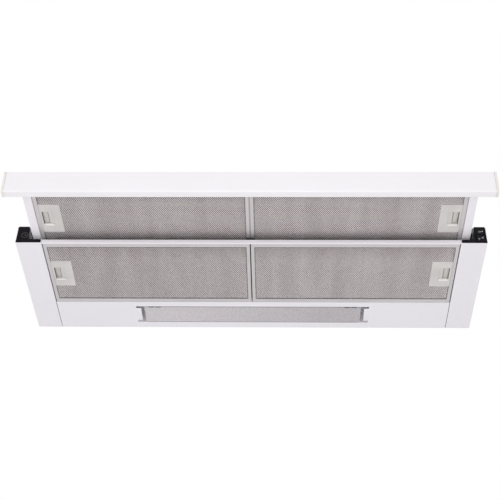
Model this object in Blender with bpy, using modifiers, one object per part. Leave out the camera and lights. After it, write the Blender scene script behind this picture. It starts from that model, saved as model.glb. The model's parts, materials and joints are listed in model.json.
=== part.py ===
"""Slide-out under-cabinet range hood, in metres, +Z up.

The front faces -Y and +X is the right-hand side seen from the front. The origin is at mid width,
where the wall plane (the hood's rear face) meets the top of the low canopy, which seats against
the underside of a cabinet. The visor stands partly drawn out.
"""

import math

import bmesh
import bpy
from mathutils import Matrix

COLLECTION_NAME = "range_hood"

# Overall sizes.
HOOD_WIDTH = 0.896
BODY_DEPTH = 0.280
BODY_HEIGHT = 0.038
HOUSING_WIDTH = 0.560
HOUSING_HEIGHT = 0.137

# Sheet and clearances.
SHEET = 0.0008
GAP = 0.0003
FILTER_CLEARANCE = 0.0008
WALL_LAP = 0.010
JOIN_STEP = 0.0002

# Canopy.
SIDE_WIDTH = 0.049
SIDE_LIP = 0.009
FRONT_HEM = 0.003
CROSSBAR_HEIGHT = 0.0076
CROSSBAR_DEPTH = 0.004
REAR_PANEL_DEPTH = 0.0884
REAR_UPSTAND = 0.011
PANEL_SEAM = 0.0010
CENTRE_BAR_WIDTH = 0.016
BAR_SEAT_GAP = 0.0005
BAR_REACH = 0.0019
BAR_LIFT = 0.0004
PLENUM_MARGIN = 0.018
PLENUM_FRONT = 0.030
PLENUM_REAR = 0.020
SEAT_RISE = 0.0016
SEAT_WIDTH = 0.090
SEAT_MARGIN = 0.035

# Visor.
VISOR_EXTENSION = 0.132
VISOR_RISE = 0.016
VISOR_HEADROOM = 0.004
VISOR_FLANGE = 0.0155
VISOR_INSET = 0.0465
VISOR_FRONT_LIP = 0.0067
VISOR_REAR_LIP = 0.0037
VISOR_TAIL = 0.028
VISOR_FILTER_CLEARANCE = 0.0007
RAIL_LENGTH = 0.245
RAIL_SETBACK = 0.007
RAIL_WIDTH = 0.0094
RAIL_WALL = 0.001
RAIL_LIFT = 0.0036
RAIL_DROP = 0.0098
CHANNEL_FRONT = 0.015
CHANNEL_REAR = 0.020
CHANNEL_FLANGE = 0.008
CHANNEL_MOUTH = 0.0034
CHANNEL_STANDOFF = 0.0006
CHANNEL_CLEARANCE = 0.0004

# Facia.
FACIA_HEIGHT = 0.0480
FACIA_THICKNESS = 0.0154
FACIA_WALL = 0.0012
FACIA_RADIUS = 0.0025
FACIA_RETURN = 0.006
FACIA_CAP_THICKNESS = 0.0042
FACIA_CAP_PROUD = 0.0008
FACIA_OVERHANG = 0.001

# Filters.
FILTER_HEIGHT = 0.009
FILTER_RISE = 0.001
FILTER_SIDE = 0.0095
FILTER_END = 0.0065
VISOR_FILTER_END = 0.0076
FILTER_END_GAP = 0.0019
SEAM_HALF = 0.0011
MEDIA_THICKNESS = 0.003
MEDIA_RISE = 0.0014
MEDIA_GRIP = 0.0025

# Filter latches.
LATCH_LENGTH = 0.040
LATCH_WIDTH = 0.0785
LATCH_HEIGHT = 0.007
POCKET_START = 0.004
POCKET_LENGTH = 0.020
POCKET_WIDTH = 0.038
POCKET_DEPTH = 0.0049
SLIDER_WIDTH = 0.0174
SLIDER_LENGTH = 0.024
SLIDER_RISE = 0.0049
SLIDER_THICKNESS = 0.0016
TAB_START = 0.0158
TAB_WIDTH = 0.034
TAB_RISE = 0.0016
NECK_INSET = 0.001
LATCH_TRAVEL = 0.006
NOSE = 0.0010
VISOR_NOSE = 0.0013
NOSE_CLEARANCE = 0.0006
SPRING_RADIUS = 0.00175
SPRING_WIRE = 0.00025
SPRING_LENGTH = 0.009
SPRING_TURNS = 4

# Front caps and switches.
CAP_PLATE = 0.0017
CAP_WIDTH = 0.024
CAP_FOOT_HEIGHT = 0.0068
CAP_DROP = 0.0001
CAP_FOOT_REACH = 0.0475
CAP_DRAFT = 0.002
CAP_RADIUS = 0.0015
CAP_CORNER = 0.0006
CAP_PLUG_DEPTH = 0.006
CAP_WALL = 0.0013
ROCKER_SIDE_CLEARANCE = 0.0008
ROCKER_PROUD = 0.0016
ROCKER_DISH = 0.001
ROCKER_BACK = 0.003
ROCKER_TILT = 6.0
SWITCH_MODULE_DEPTH = 0.028

# Upper housing, outlet and flaps.
HOUSING_WALL = 0.001
HOUSING_FLANGE = 0.008
OUTLET_RADIUS = 0.0747
COLLAR_HEIGHT = 0.035
COLLAR_WALL = 0.001
COLLAR_FLANGE = 0.0113
COLLAR_LEDGE = 0.0042
FLAP_LEVEL = 0.0147
FLAP_CLEARANCE = 0.0022
FLAP_THICKNESS = 0.0008
PIN_RADIUS = 0.0015
KNUCKLE_WALL = 0.0012
KNUCKLE_LENGTH = 0.020

# Blower.
SCROLL_START = 0.046
SCROLL_END = 0.070
SCROLL_WALL = 0.0015
SCROLL_HALF_WIDTH = 0.082
SCROLL_CENTRE_HEIGHT = 0.0665
TONGUE_ANGLE = 75.0
INLET_RADIUS = 0.036
IMPELLER_RADIUS = 0.042
BLADE_DEPTH = 0.008
BLADE_THICKNESS = 0.0012
BLADE_COUNT = 20
BLADE_PITCH_ANGLE = 30.0
IMPELLER_CLEARANCE = 0.0045
RIM_THICKNESS = 0.002
DISC_THICKNESS = 0.002
HUB_RADIUS = 0.010
HUB_LENGTH = 0.012
SHAFT_RADIUS = 0.004
MOTOR_RADIUS = 0.028
MOTOR_LENGTH = 0.082
MOTOR_OFFSET = 0.006
SHAFT_IN_MOTOR = 0.034
SHAFT_TAIL = 0.004
BRACKET_THICKNESS = 0.003
BRACKET_RIM = 0.003
BRACKET_REACH = 0.018
BRACKET_ARM = 0.010

# Electrical parts.
CAPACITOR_RADIUS = 0.015
CAPACITOR_LENGTH = 0.060
TERMINAL_BOX = (0.078, 0.080, 0.050)
GLAND_RADIUS = 0.008
GLAND_BORE = 0.004

# Lamp.
LAMP_LENGTH = 0.476
LAMP_DEPTH = 0.055
LAMP_SETBACK = 0.0185
LAMP_FLANGE = 0.006
LAMP_TOP = 0.010
LENS_END = 0.0175
LENS_WALL = 0.0015
LENS_LIP = 0.005
TONGUE_LENGTH = 0.0106
TONGUE_SIDE_GAP = 0.0065
TUBE_RADIUS = 0.0075
TUBE_LENGTH = 0.180
HOLDER_LENGTH = 0.012
HOLDER_SIZE = 0.019
HOLDER_INSET = 0.020

HALF_WIDTH = HOOD_WIDTH / 2
UNDERSIDE = -BODY_HEIGHT
INNER_HALF = HALF_WIDTH - SIDE_WIDTH
CROSSBAR_BACK = -BODY_DEPTH + CROSSBAR_DEPTH
FILTER_DEPTH = BODY_DEPTH - CROSSBAR_DEPTH - REAR_PANEL_DEPTH - 2 * FILTER_CLEARANCE
FILTER_OUTER = INNER_HALF - FILTER_END_GAP
VISOR_BOTTOM = UNDERSIDE + VISOR_RISE
VISOR_TOP = -VISOR_HEADROOM
VISOR_INNER = HALF_WIDTH - VISOR_INSET
VISOR_FRONT = -BODY_DEPTH - VISOR_EXTENSION
VISOR_FILTER_OUTER = VISOR_INNER - VISOR_FILTER_CLEARANCE
TRAY_FRONT = VISOR_FRONT - FACIA_THICKNESS + FACIA_WALL + GAP
TRAY_BACK = TRAY_FRONT + 2 * SHEET + FILTER_DEPTH + VISOR_TAIL
HOUSING_BACK = -SHEET - GAP
HOUSING_FRONT = -BODY_DEPTH + 0.009
OUTLET_Y = -BODY_DEPTH / 2
LAMP_BACK = -LAMP_SETBACK
LAMP_FRONT = LAMP_BACK - LAMP_DEPTH

AXES = {
    "X": Matrix(((0, 0, 1, 0), (1, 0, 0, 0), (0, 1, 0, 0), (0, 0, 0, 1))),
    "Y": Matrix(((1, 0, 0, 0), (0, 0, -1, 0), (0, 1, 0, 0), (0, 0, 0, 1))),
    "Z": Matrix.Identity(4),
}
ROUND_STEPS = 40


# ---------------------------------------------------------------- scene helpers


def clear_scene():
    for obj in list(bpy.data.objects):
        bpy.data.objects.remove(obj, do_unlink=True)


def new_collection(name):
    collection = bpy.data.collections.new(name)
    bpy.context.scene.collection.children.link(collection)
    return collection


def make_material(name, colour, roughness, metallic=0.0):
    material = bpy.data.materials.new(name)
    material.use_nodes = True
    shader = material.node_tree.nodes["Principled BSDF"]
    shader.inputs["Base Color"].default_value = (*colour, 1.0)
    shader.inputs["Roughness"].default_value = roughness
    shader.inputs["Metallic"].default_value = metallic
    material.diffuse_color = (*colour, 1.0)
    return material


def finish_mesh(mesh, smooth_angle=30.0):
    mesh.shade_smooth()
    mesh.set_sharp_from_angle(angle=math.radians(smooth_angle))


def register(name, mesh, material, origin=(0.0, 0.0, 0.0)):
    """A visible part, whose mesh is given in world coordinates; a helper when there is no material."""
    mesh.transform(Matrix.Translation([-value for value in origin]))
    mesh.name = name
    finish_mesh(mesh)
    obj = bpy.data.objects.new(name, mesh)
    obj.location = origin
    if material is None:
        obj.hide_render = True
        obj.display_type = "WIRE"
        HELPERS.objects.link(obj)
    else:
        mesh.materials.append(material)
        PARTS.objects.link(obj)
    return obj


def boolean(target, tool, operation):
    modifier = target.modifiers.new(tool.name, "BOOLEAN")
    modifier.operation = operation
    modifier.object = tool
    modifier.solver = "EXACT"


def cut(target, *tools):
    for tool in tools:
        boolean(target, tool, "DIFFERENCE")


def join(target, *tools):
    for tool in tools:
        boolean(target, tool, "UNION")


# ---------------------------------------------------------------- shape helpers


def block(name, low, high, material=None, origin=(0.0, 0.0, 0.0)):
    """A box between two opposite corners."""
    bm = bmesh.new()
    bmesh.ops.create_cube(bm, size=1.0)
    size = [b - a for a, b in zip(low, high)]
    middle = [(a + b) / 2 for a, b in zip(low, high)]
    bmesh.ops.scale(bm, vec=size, verts=bm.verts)
    bmesh.ops.translate(bm, vec=middle, verts=bm.verts)
    mesh = bpy.data.meshes.new(name)
    bm.to_mesh(mesh)
    bm.free()
    return register(name, mesh, material, origin)


def mirrored_block(name, side, low, high, material=None):
    """A box given for the right-hand side, put on the side wanted."""
    if side < 0:
        low, high = (-high[0], low[1], low[2]), (-low[0], high[1], high[2])
    return block(name, low, high, material)


def rod(name, axis, centre, radius, low, high, material=None, origin=(0.0, 0.0, 0.0), steps=ROUND_STEPS):
    """A cylinder along an axis, between two places on it; centre gives the two other coordinates."""
    bm = bmesh.new()
    bmesh.ops.create_cone(
        bm, cap_ends=True, segments=steps, radius1=radius, radius2=radius, depth=abs(high - low)
    )
    mesh = bpy.data.meshes.new(name)
    bm.to_mesh(mesh)
    bm.free()
    middle = (low + high) / 2
    if axis == "Y":
        middle = -middle
    mesh.transform(AXES[axis] @ Matrix.Translation((centre[0], centre[1], middle)))
    return register(name, mesh, material, origin)


def prism(name, outlines, axis, low, high, material=None, origin=(0.0, 0.0, 0.0)):
    """One or more closed outlines extruded along an axis: (y, z) for X, (x, z) for Y, (x, y) for Z."""
    curve = bpy.data.curves.new(name, "CURVE")
    curve.dimensions = "2D"
    curve.fill_mode = "BOTH"
    curve.extrude = (high - low) / 2
    for outline in outlines:
        spline = curve.splines.new("POLY")
        spline.points.add(len(outline) - 1)
        for point, (u, v) in zip(spline.points, outline):
            point.co = (u, v, 0.0, 1.0)
        spline.use_cyclic_u = True
    holder = bpy.data.objects.new(name + "_curve", curve)
    bpy.context.scene.collection.objects.link(holder)
    graph = bpy.context.evaluated_depsgraph_get()
    mesh = bpy.data.meshes.new_from_object(holder.evaluated_get(graph))
    bpy.data.objects.remove(holder, do_unlink=True)
    bpy.data.curves.remove(curve)
    middle = (low + high) / 2
    if axis == "Y":
        middle = -middle
    mesh.transform(AXES[axis] @ Matrix.Translation((0.0, 0.0, middle)))
    bm = bmesh.new()
    bm.from_mesh(mesh)
    bmesh.ops.remove_doubles(bm, verts=bm.verts, dist=1e-6)
    bmesh.ops.recalc_face_normals(bm, faces=bm.faces)
    bm.to_mesh(mesh)
    bm.free()
    mesh.materials.clear()
    return register(name, mesh, material, origin)


def turned(name, profile, centre, material, steps=ROUND_STEPS):
    """A closed profile of (radius, z) points, outer side first and downwards, turned about Z."""
    bm = bmesh.new()
    points = [bm.verts.new((radius, 0.0, z)) for radius, z in profile]
    for first, second in zip(points, points[1:] + points[:1]):
        bm.edges.new((first, second))
    mesh = bpy.data.meshes.new(name)
    bm.to_mesh(mesh)
    bm.free()
    obj = register(name, mesh, material)
    obj.location = (centre[0], centre[1], 0.0)
    screw = obj.modifiers.new("turn", "SCREW")
    screw.steps = steps
    screw.render_steps = steps
    screw.use_merge_vertices = True
    screw.merge_threshold = 0.00001
    screw.use_smooth_shade = True
    return obj


def arc(centre, radius, start, end, steps):
    """Points on a circle, from one angle in degrees to another."""
    angles = [math.radians(start + (end - start) * step / steps) for step in range(steps + 1)]
    return [(centre[0] + radius * math.cos(a), centre[1] + radius * math.sin(a)) for a in angles]


def rounded_outline(corners, steps=3):
    """An outline from (u, v, radius) corners, each given its own fillet; radius 0 stays sharp."""
    points = []
    count = len(corners)
    for index, (u, v, radius) in enumerate(corners):
        if radius <= 0:
            points.append((u, v))
            continue
        before = corners[index - 1]
        after = corners[(index + 1) % count]
        to_before = unit(before[0] - u, before[1] - v)
        to_after = unit(after[0] - u, after[1] - v)
        half = math.acos(max(-1.0, min(1.0, to_before[0] * to_after[0] + to_before[1] * to_after[1]))) / 2
        reach = radius / math.tan(half)
        middle = unit(to_before[0] + to_after[0], to_before[1] + to_after[1])
        distance = radius / math.sin(half)
        centre = (u + middle[0] * distance, v + middle[1] * distance)
        first = (u + to_before[0] * reach, v + to_before[1] * reach)
        last = (u + to_after[0] * reach, v + to_after[1] * reach)
        start = math.atan2(first[1] - centre[1], first[0] - centre[0])
        sweep = math.atan2(last[1] - centre[1], last[0] - centre[0]) - start
        sweep = (sweep + math.pi) % (2 * math.pi) - math.pi
        for step in range(steps + 1):
            angle = start + sweep * step / steps
            points.append((centre[0] + radius * math.cos(angle), centre[1] + radius * math.sin(angle)))
    return points


def unit(u, v):
    length = math.hypot(u, v)
    return (u / length, v / length)


def rectangle(low_u, low_v, high_u, high_v):
    return [(low_u, low_v), (high_u, low_v), (high_u, high_v), (low_u, high_v)]


def sided(side, outline):
    """An outline given for the right-hand side, put on the side wanted."""
    return [(side * u, v) for u, v in outline]


def span(side, near, far):
    """The x range between two distances from the middle, on one side."""
    return (near, far) if side > 0 else (-far, -near)


# ---------------------------------------------------------------- canopy


def make_canopy_shell():
    """Top sheet with a lapped rear wall and a front hem.

    A raised seat at each end meets the cabinet and keeps it clear of the upper housing's flange.
    """
    front = -BODY_DEPTH
    outline = [
        (front, -FRONT_HEM),
        (front + SHEET, -FRONT_HEM),
        (front + SHEET, -SHEET),
        (-SHEET, -SHEET),
        (-SHEET, UNDERSIDE),
        (0.0, UNDERSIDE),
        (0.0, WALL_LAP),
        (-SHEET, WALL_LAP),
        (-SHEET, 0.0),
        (front, 0.0),
    ]
    shell = prism("canopy_shell", [outline], "X", -HALF_WIDTH, HALF_WIDTH, MATERIALS["white_enamel"])
    half = HOUSING_WIDTH / 2 - PLENUM_MARGIN
    opening = block(
        "plenum_cut", (-half, front + PLENUM_FRONT, -0.01), (half, -PLENUM_REAR, WALL_LAP)
    )
    cut(shell, opening)
    for side in (-1, 1):
        low = (HALF_WIDTH - CAP_WIDTH, front - 0.001, -FRONT_HEM - 0.001)
        high = (HALF_WIDTH + 0.001, front + SHEET + JOIN_STEP, -SHEET)
        cut(shell, mirrored_block("hem_end_cut", side, low, high))
        outer = HALF_WIDTH - SEAT_MARGIN
        low = (outer - SEAT_WIDTH, front + SEAT_MARGIN, -SHEET / 2)
        high = (outer, -SEAT_MARGIN, SEAT_RISE)
        join(shell, mirrored_block("cabinet_seat_join", side, low, high))


def make_side_panel(side, name):
    top = -SHEET - GAP
    outline = [
        (HALF_WIDTH, UNDERSIDE),
        (HALF_WIDTH, top),
        (HALF_WIDTH - SHEET, top),
        (HALF_WIDTH - SHEET, UNDERSIDE + SHEET),
        (INNER_HALF + SHEET, UNDERSIDE + SHEET),
        (INNER_HALF + SHEET, UNDERSIDE + SIDE_LIP),
        (INNER_HALF, UNDERSIDE + SIDE_LIP),
        (INNER_HALF, UNDERSIDE),
    ]
    prism(name, [sided(side, outline)], "Y", -BODY_DEPTH, -SHEET - GAP, MATERIALS["white_enamel"])


def make_front_crossbar():
    front = -BODY_DEPTH
    top = UNDERSIDE + CROSSBAR_HEIGHT
    outline = [
        (front, UNDERSIDE),
        (CROSSBAR_BACK, UNDERSIDE),
        (CROSSBAR_BACK, UNDERSIDE + SHEET),
        (front + SHEET, UNDERSIDE + SHEET),
        (front + SHEET, top - SHEET),
        (CROSSBAR_BACK, top - SHEET),
        (CROSSBAR_BACK, top),
        (front, top),
    ]
    half = INNER_HALF - GAP
    prism("front_crossbar", [outline], "X", -half, half, MATERIALS["white_enamel"])


def make_rear_panel():
    front = -REAR_PANEL_DEPTH
    outline = [
        (front, UNDERSIDE),
        (-SHEET - GAP, UNDERSIDE),
        (-SHEET - GAP, UNDERSIDE + SHEET),
        (front + SHEET, UNDERSIDE + SHEET),
        (front + SHEET, UNDERSIDE + REAR_UPSTAND),
        (front, UNDERSIDE + REAR_UPSTAND),
    ]
    half = INNER_HALF - PANEL_SEAM
    panel = prism("rear_panel", [outline], "X", -half, half, MATERIALS["white_enamel"])
    cut(panel, prism("lamp_aperture_cut", [aperture_outline()], "Z", UNDERSIDE - 0.002, UNDERSIDE + 0.002))


def aperture_outline():
    """The lamp aperture, with a tongue of the panel left standing into each end."""
    half = LAMP_LENGTH / 2
    tip = half - TONGUE_LENGTH
    front = LAMP_FRONT + TONGUE_SIDE_GAP
    back = LAMP_BACK - TONGUE_SIDE_GAP
    right = [
        (half, LAMP_FRONT),
        (half, front),
        (tip, front),
        (tip, back),
        (half, back),
        (half, LAMP_BACK),
    ]
    return right + [(-x, y) for x, y in reversed(right)]


def make_tee_bar(name, floor, web_low, low, high):
    """T-section over the seam between two filters, its web standing down into the seam."""
    top = floor + FILTER_HEIGHT + GAP + SHEET + BAR_LIFT
    half = CENTRE_BAR_WIDTH / 2
    web = SHEET / 2
    outline = [
        (-half, top),
        (-half, top - SHEET),
        (-web, top - SHEET),
        (-web, web_low),
        (web, web_low),
        (web, top - SHEET),
        (half, top - SHEET),
        (half, top),
    ]
    prism(name, [outline], "Y", low, high, MATERIALS["galvanised_sheet"])


def make_centre_bars():
    """One over the rear filters and one, in the visor, over the front filters."""
    floor = UNDERSIDE + FILTER_RISE
    seat = UNDERSIDE + CROSSBAR_HEIGHT + BAR_SEAT_GAP
    make_tee_bar("centre_bar", floor, seat, -BODY_DEPTH + GAP, -REAR_PANEL_DEPTH - GAP)
    floor = visor_filter_base()
    start = TRAY_FRONT + JOIN_STEP + SHEET + GAP
    make_tee_bar("visor_centre_bar", floor, floor + FILTER_HEIGHT - BAR_REACH, start, TRAY_BACK - GAP)


def make_front_cap(side, name):
    """Moulded L-shaped cap that closes the front of a side box; the right one holds the switches."""
    low = UNDERSIDE + CAP_DROP
    inner = HALF_WIDTH - CAP_WIDTH
    foot = HALF_WIDTH - CAP_FOOT_REACH
    outer = HALF_WIDTH - 0.0001
    corners = [
        (foot, low, CAP_CORNER),
        (outer, low, CAP_CORNER),
        (outer - CAP_DRAFT, 0.0, CAP_RADIUS),
        (inner + 0.001, 0.0, CAP_RADIUS),
        (inner, low + CAP_FOOT_HEIGHT, 0.0),
        (foot, low + CAP_FOOT_HEIGHT, CAP_RADIUS),
    ]
    outline = sided(side, rounded_outline(corners))
    back = -BODY_DEPTH - GAP
    cap = prism(name, [outline], "Y", back - CAP_PLATE, back, MATERIALS["black_plastic"])
    bevel = cap.modifiers.new("edge", "BEVEL")
    bevel.width = 0.0004
    bevel.segments = 1
    bevel.angle_limit = math.radians(50)
    low_corner = (plug_inner(), back - CAP_PLATE / 2, plug_low())
    high_corner = (plug_outer(), back + CAP_PLUG_DEPTH, plug_high())
    join(cap, mirrored_block(name + "_plug", side, low_corner, high_corner))
    return cap


def plug_inner():
    return HALF_WIDTH - CAP_WIDTH + 0.002


def plug_outer():
    return HALF_WIDTH - SHEET - CAP_DRAFT + 0.001


def plug_low():
    return UNDERSIDE + SHEET + GAP


def plug_high():
    return -FRONT_HEM - GAP


def rocker_window(index):
    """(low z, high z) of one of the two switch openings, the upper one first."""
    height = (plug_high() - plug_low() - 3 * CAP_WALL) / 2
    high = plug_high() - CAP_WALL - index * (height + CAP_WALL)
    return high - height, high


def rocker_centre():
    return (plug_inner() + plug_outer()) / 2


def rocker_pivot():
    return -BODY_DEPTH + 0.001


def turned_point(x, y, u, v, turn):
    """A point at (u, v) from (x, y), turned about it."""
    return (x + u * math.cos(turn) - v * math.sin(turn), y + u * math.sin(turn) + v * math.cos(turn))


def make_switches(cap):
    front = -BODY_DEPTH - GAP - CAP_PLATE - ROCKER_PROUD
    back = rocker_pivot() + ROCKER_BACK
    half = (plug_outer() - plug_inner()) / 2 - CAP_WALL - ROCKER_SIDE_CLEARANCE
    x, y = rocker_centre(), rocker_pivot()
    outline = [(-half, front), (-half / 2, front + ROCKER_DISH * 0.8), (0.0, front + ROCKER_DISH)]
    outline += [(half / 2, front + ROCKER_DISH * 0.8), (half, front), (half, back), (-half, back)]
    for index, (name, tilt) in enumerate((("light_switch", -ROCKER_TILT), ("fan_switch", 0.0))):
        low, high = rocker_window(index)
        turn = math.radians(tilt)
        points = [turned_point(x, y, u, v - y, turn) for u, v in outline]
        middle = (low + high) / 2
        prism(name, [points], "Z", low + 2 * GAP, high - 2 * GAP, MATERIALS["black_gloss"], (x, y, middle))
        width = half + ROCKER_SIDE_CLEARANCE
        window = block(name + "_cut", (x - width, y - 0.01, low), (x + width, y + 0.01, high))
        cut(cap, window)
    low_corner = (plug_inner(), -BODY_DEPTH + CAP_PLUG_DEPTH, plug_low() + CAP_WALL)
    high_corner = (plug_outer(), -BODY_DEPTH + CAP_PLUG_DEPTH + SWITCH_MODULE_DEPTH, plug_high() - CAP_WALL)
    block("switch_module", low_corner, high_corner, MATERIALS["grey_plastic"])


# ---------------------------------------------------------------- visor


def make_visor_tray():
    """Hat-section tray: roof, side walls, and the outward flanges that show beside the filters."""
    flange = VISOR_INNER + VISOR_FLANGE
    right = [
        (VISOR_INNER, VISOR_TOP - SHEET),
        (VISOR_INNER, VISOR_BOTTOM),
        (flange, VISOR_BOTTOM),
        (flange, VISOR_BOTTOM + SHEET),
        (VISOR_INNER + SHEET, VISOR_BOTTOM + SHEET),
        (VISOR_INNER + SHEET, VISOR_TOP),
    ]
    outline = right + [(-x, z) for x, z in reversed(right)]
    tray = prism("visor_tray", [outline], "Y", TRAY_FRONT, TRAY_BACK, MATERIALS["white_enamel"])
    inside = VISOR_INNER + SHEET / 2
    start = TRAY_FRONT + JOIN_STEP
    end = TRAY_BACK - JOIN_STEP
    floor = VISOR_BOTTOM + JOIN_STEP
    floor_top = floor + SHEET
    wall = block(
        "visor_front_wall",
        (-inside, start, floor_top - SHEET / 2),
        (inside, start + SHEET, VISOR_TOP - SHEET / 2),
    )
    front_lip = block(
        "visor_front_lip",
        (-inside, start - JOIN_STEP / 2, floor),
        (inside, start + VISOR_FRONT_LIP, floor_top),
    )
    rear_lip = block(
        "visor_rear_lip",
        (-inside, visor_filter_front() + FILTER_DEPTH - VISOR_REAR_LIP, floor),
        (inside, end, floor_top),
    )
    join(tray, front_lip, rear_lip, wall)
    middle = visor_filter_front() + FILTER_DEPTH / 2
    half = SLIDER_WIDTH / 2 + NOSE_CLEARANCE
    nose = visor_filter_base() + SLIDER_RISE
    for side in (-1, 1):
        low = (VISOR_INNER - SHEET, middle - half, nose - NOSE_CLEARANCE)
        high = (VISOR_INNER + 2 * SHEET, middle + half, nose + SLIDER_THICKNESS + NOSE_CLEARANCE)
        cut(tray, mirrored_block("keeper_slot_cut", side, low, high))


def visor_filter_front():
    return TRAY_FRONT + 2 * SHEET


def visor_filter_base():
    return VISOR_BOTTOM + JOIN_STEP + SHEET + GAP


def make_rail_pair(side, name):
    """The visor's rail, a C-section, and the channel in the side box that it slides in."""
    inner = VISOR_INNER + SHEET + GAP
    outer = inner + RAIL_WIDTH
    low = VISOR_BOTTOM + RAIL_LIFT
    high = -RAIL_DROP
    rail = [
        (inner, low),
        (outer, low),
        (outer, low + RAIL_WALL),
        (inner + RAIL_WALL, low + RAIL_WALL),
        (inner + RAIL_WALL, high - RAIL_WALL),
        (outer, high - RAIL_WALL),
        (outer, high),
        (inner, high),
    ]
    start = VISOR_FRONT + RAIL_SETBACK
    prism("visor_rail_" + name, [sided(side, rail)], "Y", start, start + RAIL_LENGTH, MATERIALS["steel"])
    mouth = inner + CHANNEL_MOUTH
    web = VISOR_INNER + VISOR_FLANGE + CHANNEL_STANDOFF
    clear = CHANNEL_CLEARANCE
    roof = -SHEET - GAP
    channel = [
        (mouth, low - clear - SHEET),
        (web + SHEET, low - clear - SHEET),
        (web + SHEET, roof - SHEET),
        (web + CHANNEL_FLANGE, roof - SHEET),
        (web + CHANNEL_FLANGE, roof),
        (web, roof),
        (web, high + clear + SHEET),
        (mouth, high + clear + SHEET),
        (mouth, high + clear),
        (web, high + clear),
        (web, low - clear),
        (mouth, low - clear),
    ]
    front = -BODY_DEPTH + CHANNEL_FRONT
    prism("slide_channel_" + name, [sided(side, channel)], "Y", front, -CHANNEL_REAR, MATERIALS["steel"])


def facia_corners(grow, radius):
    """The facia's outer (y, z, radius) corners, grown outwards by a margin."""
    front = VISOR_FRONT - FACIA_THICKNESS - grow
    back = VISOR_FRONT + grow / 2
    low = UNDERSIDE - grow
    high = UNDERSIDE + FACIA_HEIGHT + grow
    return front, back, low, high, radius


def make_facia():
    """Lipped channel, open to the back, with rounded front edges."""
    front, back, low, high, radius = facia_corners(0.0, FACIA_RADIUS)
    wall = FACIA_WALL
    corners = [
        (back, low, 0.0),
        (back, low + FACIA_RETURN, 0.0),
        (back - wall, low + FACIA_RETURN, 0.0),
        (back - wall, low + wall, 0.0),
        (front + wall, low + wall, radius - wall),
        (front + wall, high - wall, radius - wall),
        (back - wall, high - wall, 0.0),
        (back - wall, high - FACIA_RETURN, 0.0),
        (back, high - FACIA_RETURN, 0.0),
        (back, high, 0.0),
        (front, high, radius),
        (front, low, radius),
    ]
    half = HALF_WIDTH + FACIA_OVERHANG - FACIA_CAP_THICKNESS - GAP
    prism("facia", [rounded_outline(corners, 4)], "X", -half, half, MATERIALS["white_enamel"])
    front, back, low, high, radius = facia_corners(FACIA_CAP_PROUD, FACIA_RADIUS + FACIA_CAP_PROUD)
    corners = [(back, low, 0.001), (back, high, 0.001), (front, high, radius), (front, low, radius)]
    end = HALF_WIDTH + FACIA_OVERHANG
    for side, name in ((-1, "facia_cap_left"), (1, "facia_cap_right")):
        near, far = span(side, end - FACIA_CAP_THICKNESS, end)
        cap = prism(name, [rounded_outline(corners, 4)], "X", near, far, MATERIALS["cream_plastic"])
        bevel = cap.modifiers.new("edge", "BEVEL")
        bevel.width = 0.0005
        bevel.segments = 2
        bevel.angle_limit = math.radians(50)


# ---------------------------------------------------------------- filters


def make_filter(side, name, front, base, outer_end, end, nose):
    """One grease filter: frame, media, latch plate, latch slider and spring."""
    frame_x = span(side, SEAM_HALF, outer_end)
    edge = outer_end - end
    open_x = span(side, SEAM_HALF + FILTER_END, edge)
    back = front + FILTER_DEPTH
    open_y = (front + FILTER_SIDE, back - FILTER_SIDE)
    outer = rectangle(frame_x[0], front, frame_x[1], back)
    inner = rectangle(open_x[0], open_y[0], open_x[1], open_y[1])
    top = base + FILTER_HEIGHT
    pivot = (side * SEAM_HALF, (front + back) / 2, base)
    frame = prism(name + "_filter_frame", [outer, inner], "Z", base, top, MATERIALS["aluminium"], pivot)
    groove_low = base + MEDIA_RISE - GAP
    groove_high = base + MEDIA_RISE + MEDIA_THICKNESS + GAP
    reach = MEDIA_GRIP + GAP
    groove = block(
        name + "_groove_cut",
        (open_x[0] - reach, open_y[0] - reach, groove_low),
        (open_x[1] + reach, open_y[1] + reach, groove_high),
    )
    middle = (front + back) / 2
    slot = mirrored_block(
        name + "_slot_cut",
        side,
        (edge - GAP, middle - SLIDER_WIDTH / 2 - GAP, base + SLIDER_RISE - GAP),
        (outer_end + 0.001, middle + SLIDER_WIDTH / 2 + GAP, base + SLIDER_RISE + SLIDER_THICKNESS + GAP),
    )
    cut(frame, groove, slot)
    make_media(side, name, edge, open_x, open_y, base, pivot)
    make_latch(side, name, edge, middle, base, end + nose)


def make_media(side, name, edge, open_x, open_y, base, pivot):
    """The expanded-metal pack, notched for the latch plate."""
    low = base + MEDIA_RISE
    high = low + MEDIA_THICKNESS
    media = block(
        name + "_filter_mesh",
        (open_x[0] - MEDIA_GRIP, open_y[0] - MEDIA_GRIP, low),
        (open_x[1] + MEDIA_GRIP, open_y[1] + MEDIA_GRIP, high),
        MATERIALS["mesh"],
        pivot,
    )
    middle = (open_y[0] + open_y[1]) / 2
    half = LATCH_WIDTH / 2 + GAP
    notch = mirrored_block(
        name + "_notch_cut",
        side,
        (edge - LATCH_LENGTH - GAP, middle - half, low - 0.001),
        (edge + 0.01, middle + half, high + 0.001),
    )
    cut(media, notch)


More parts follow.
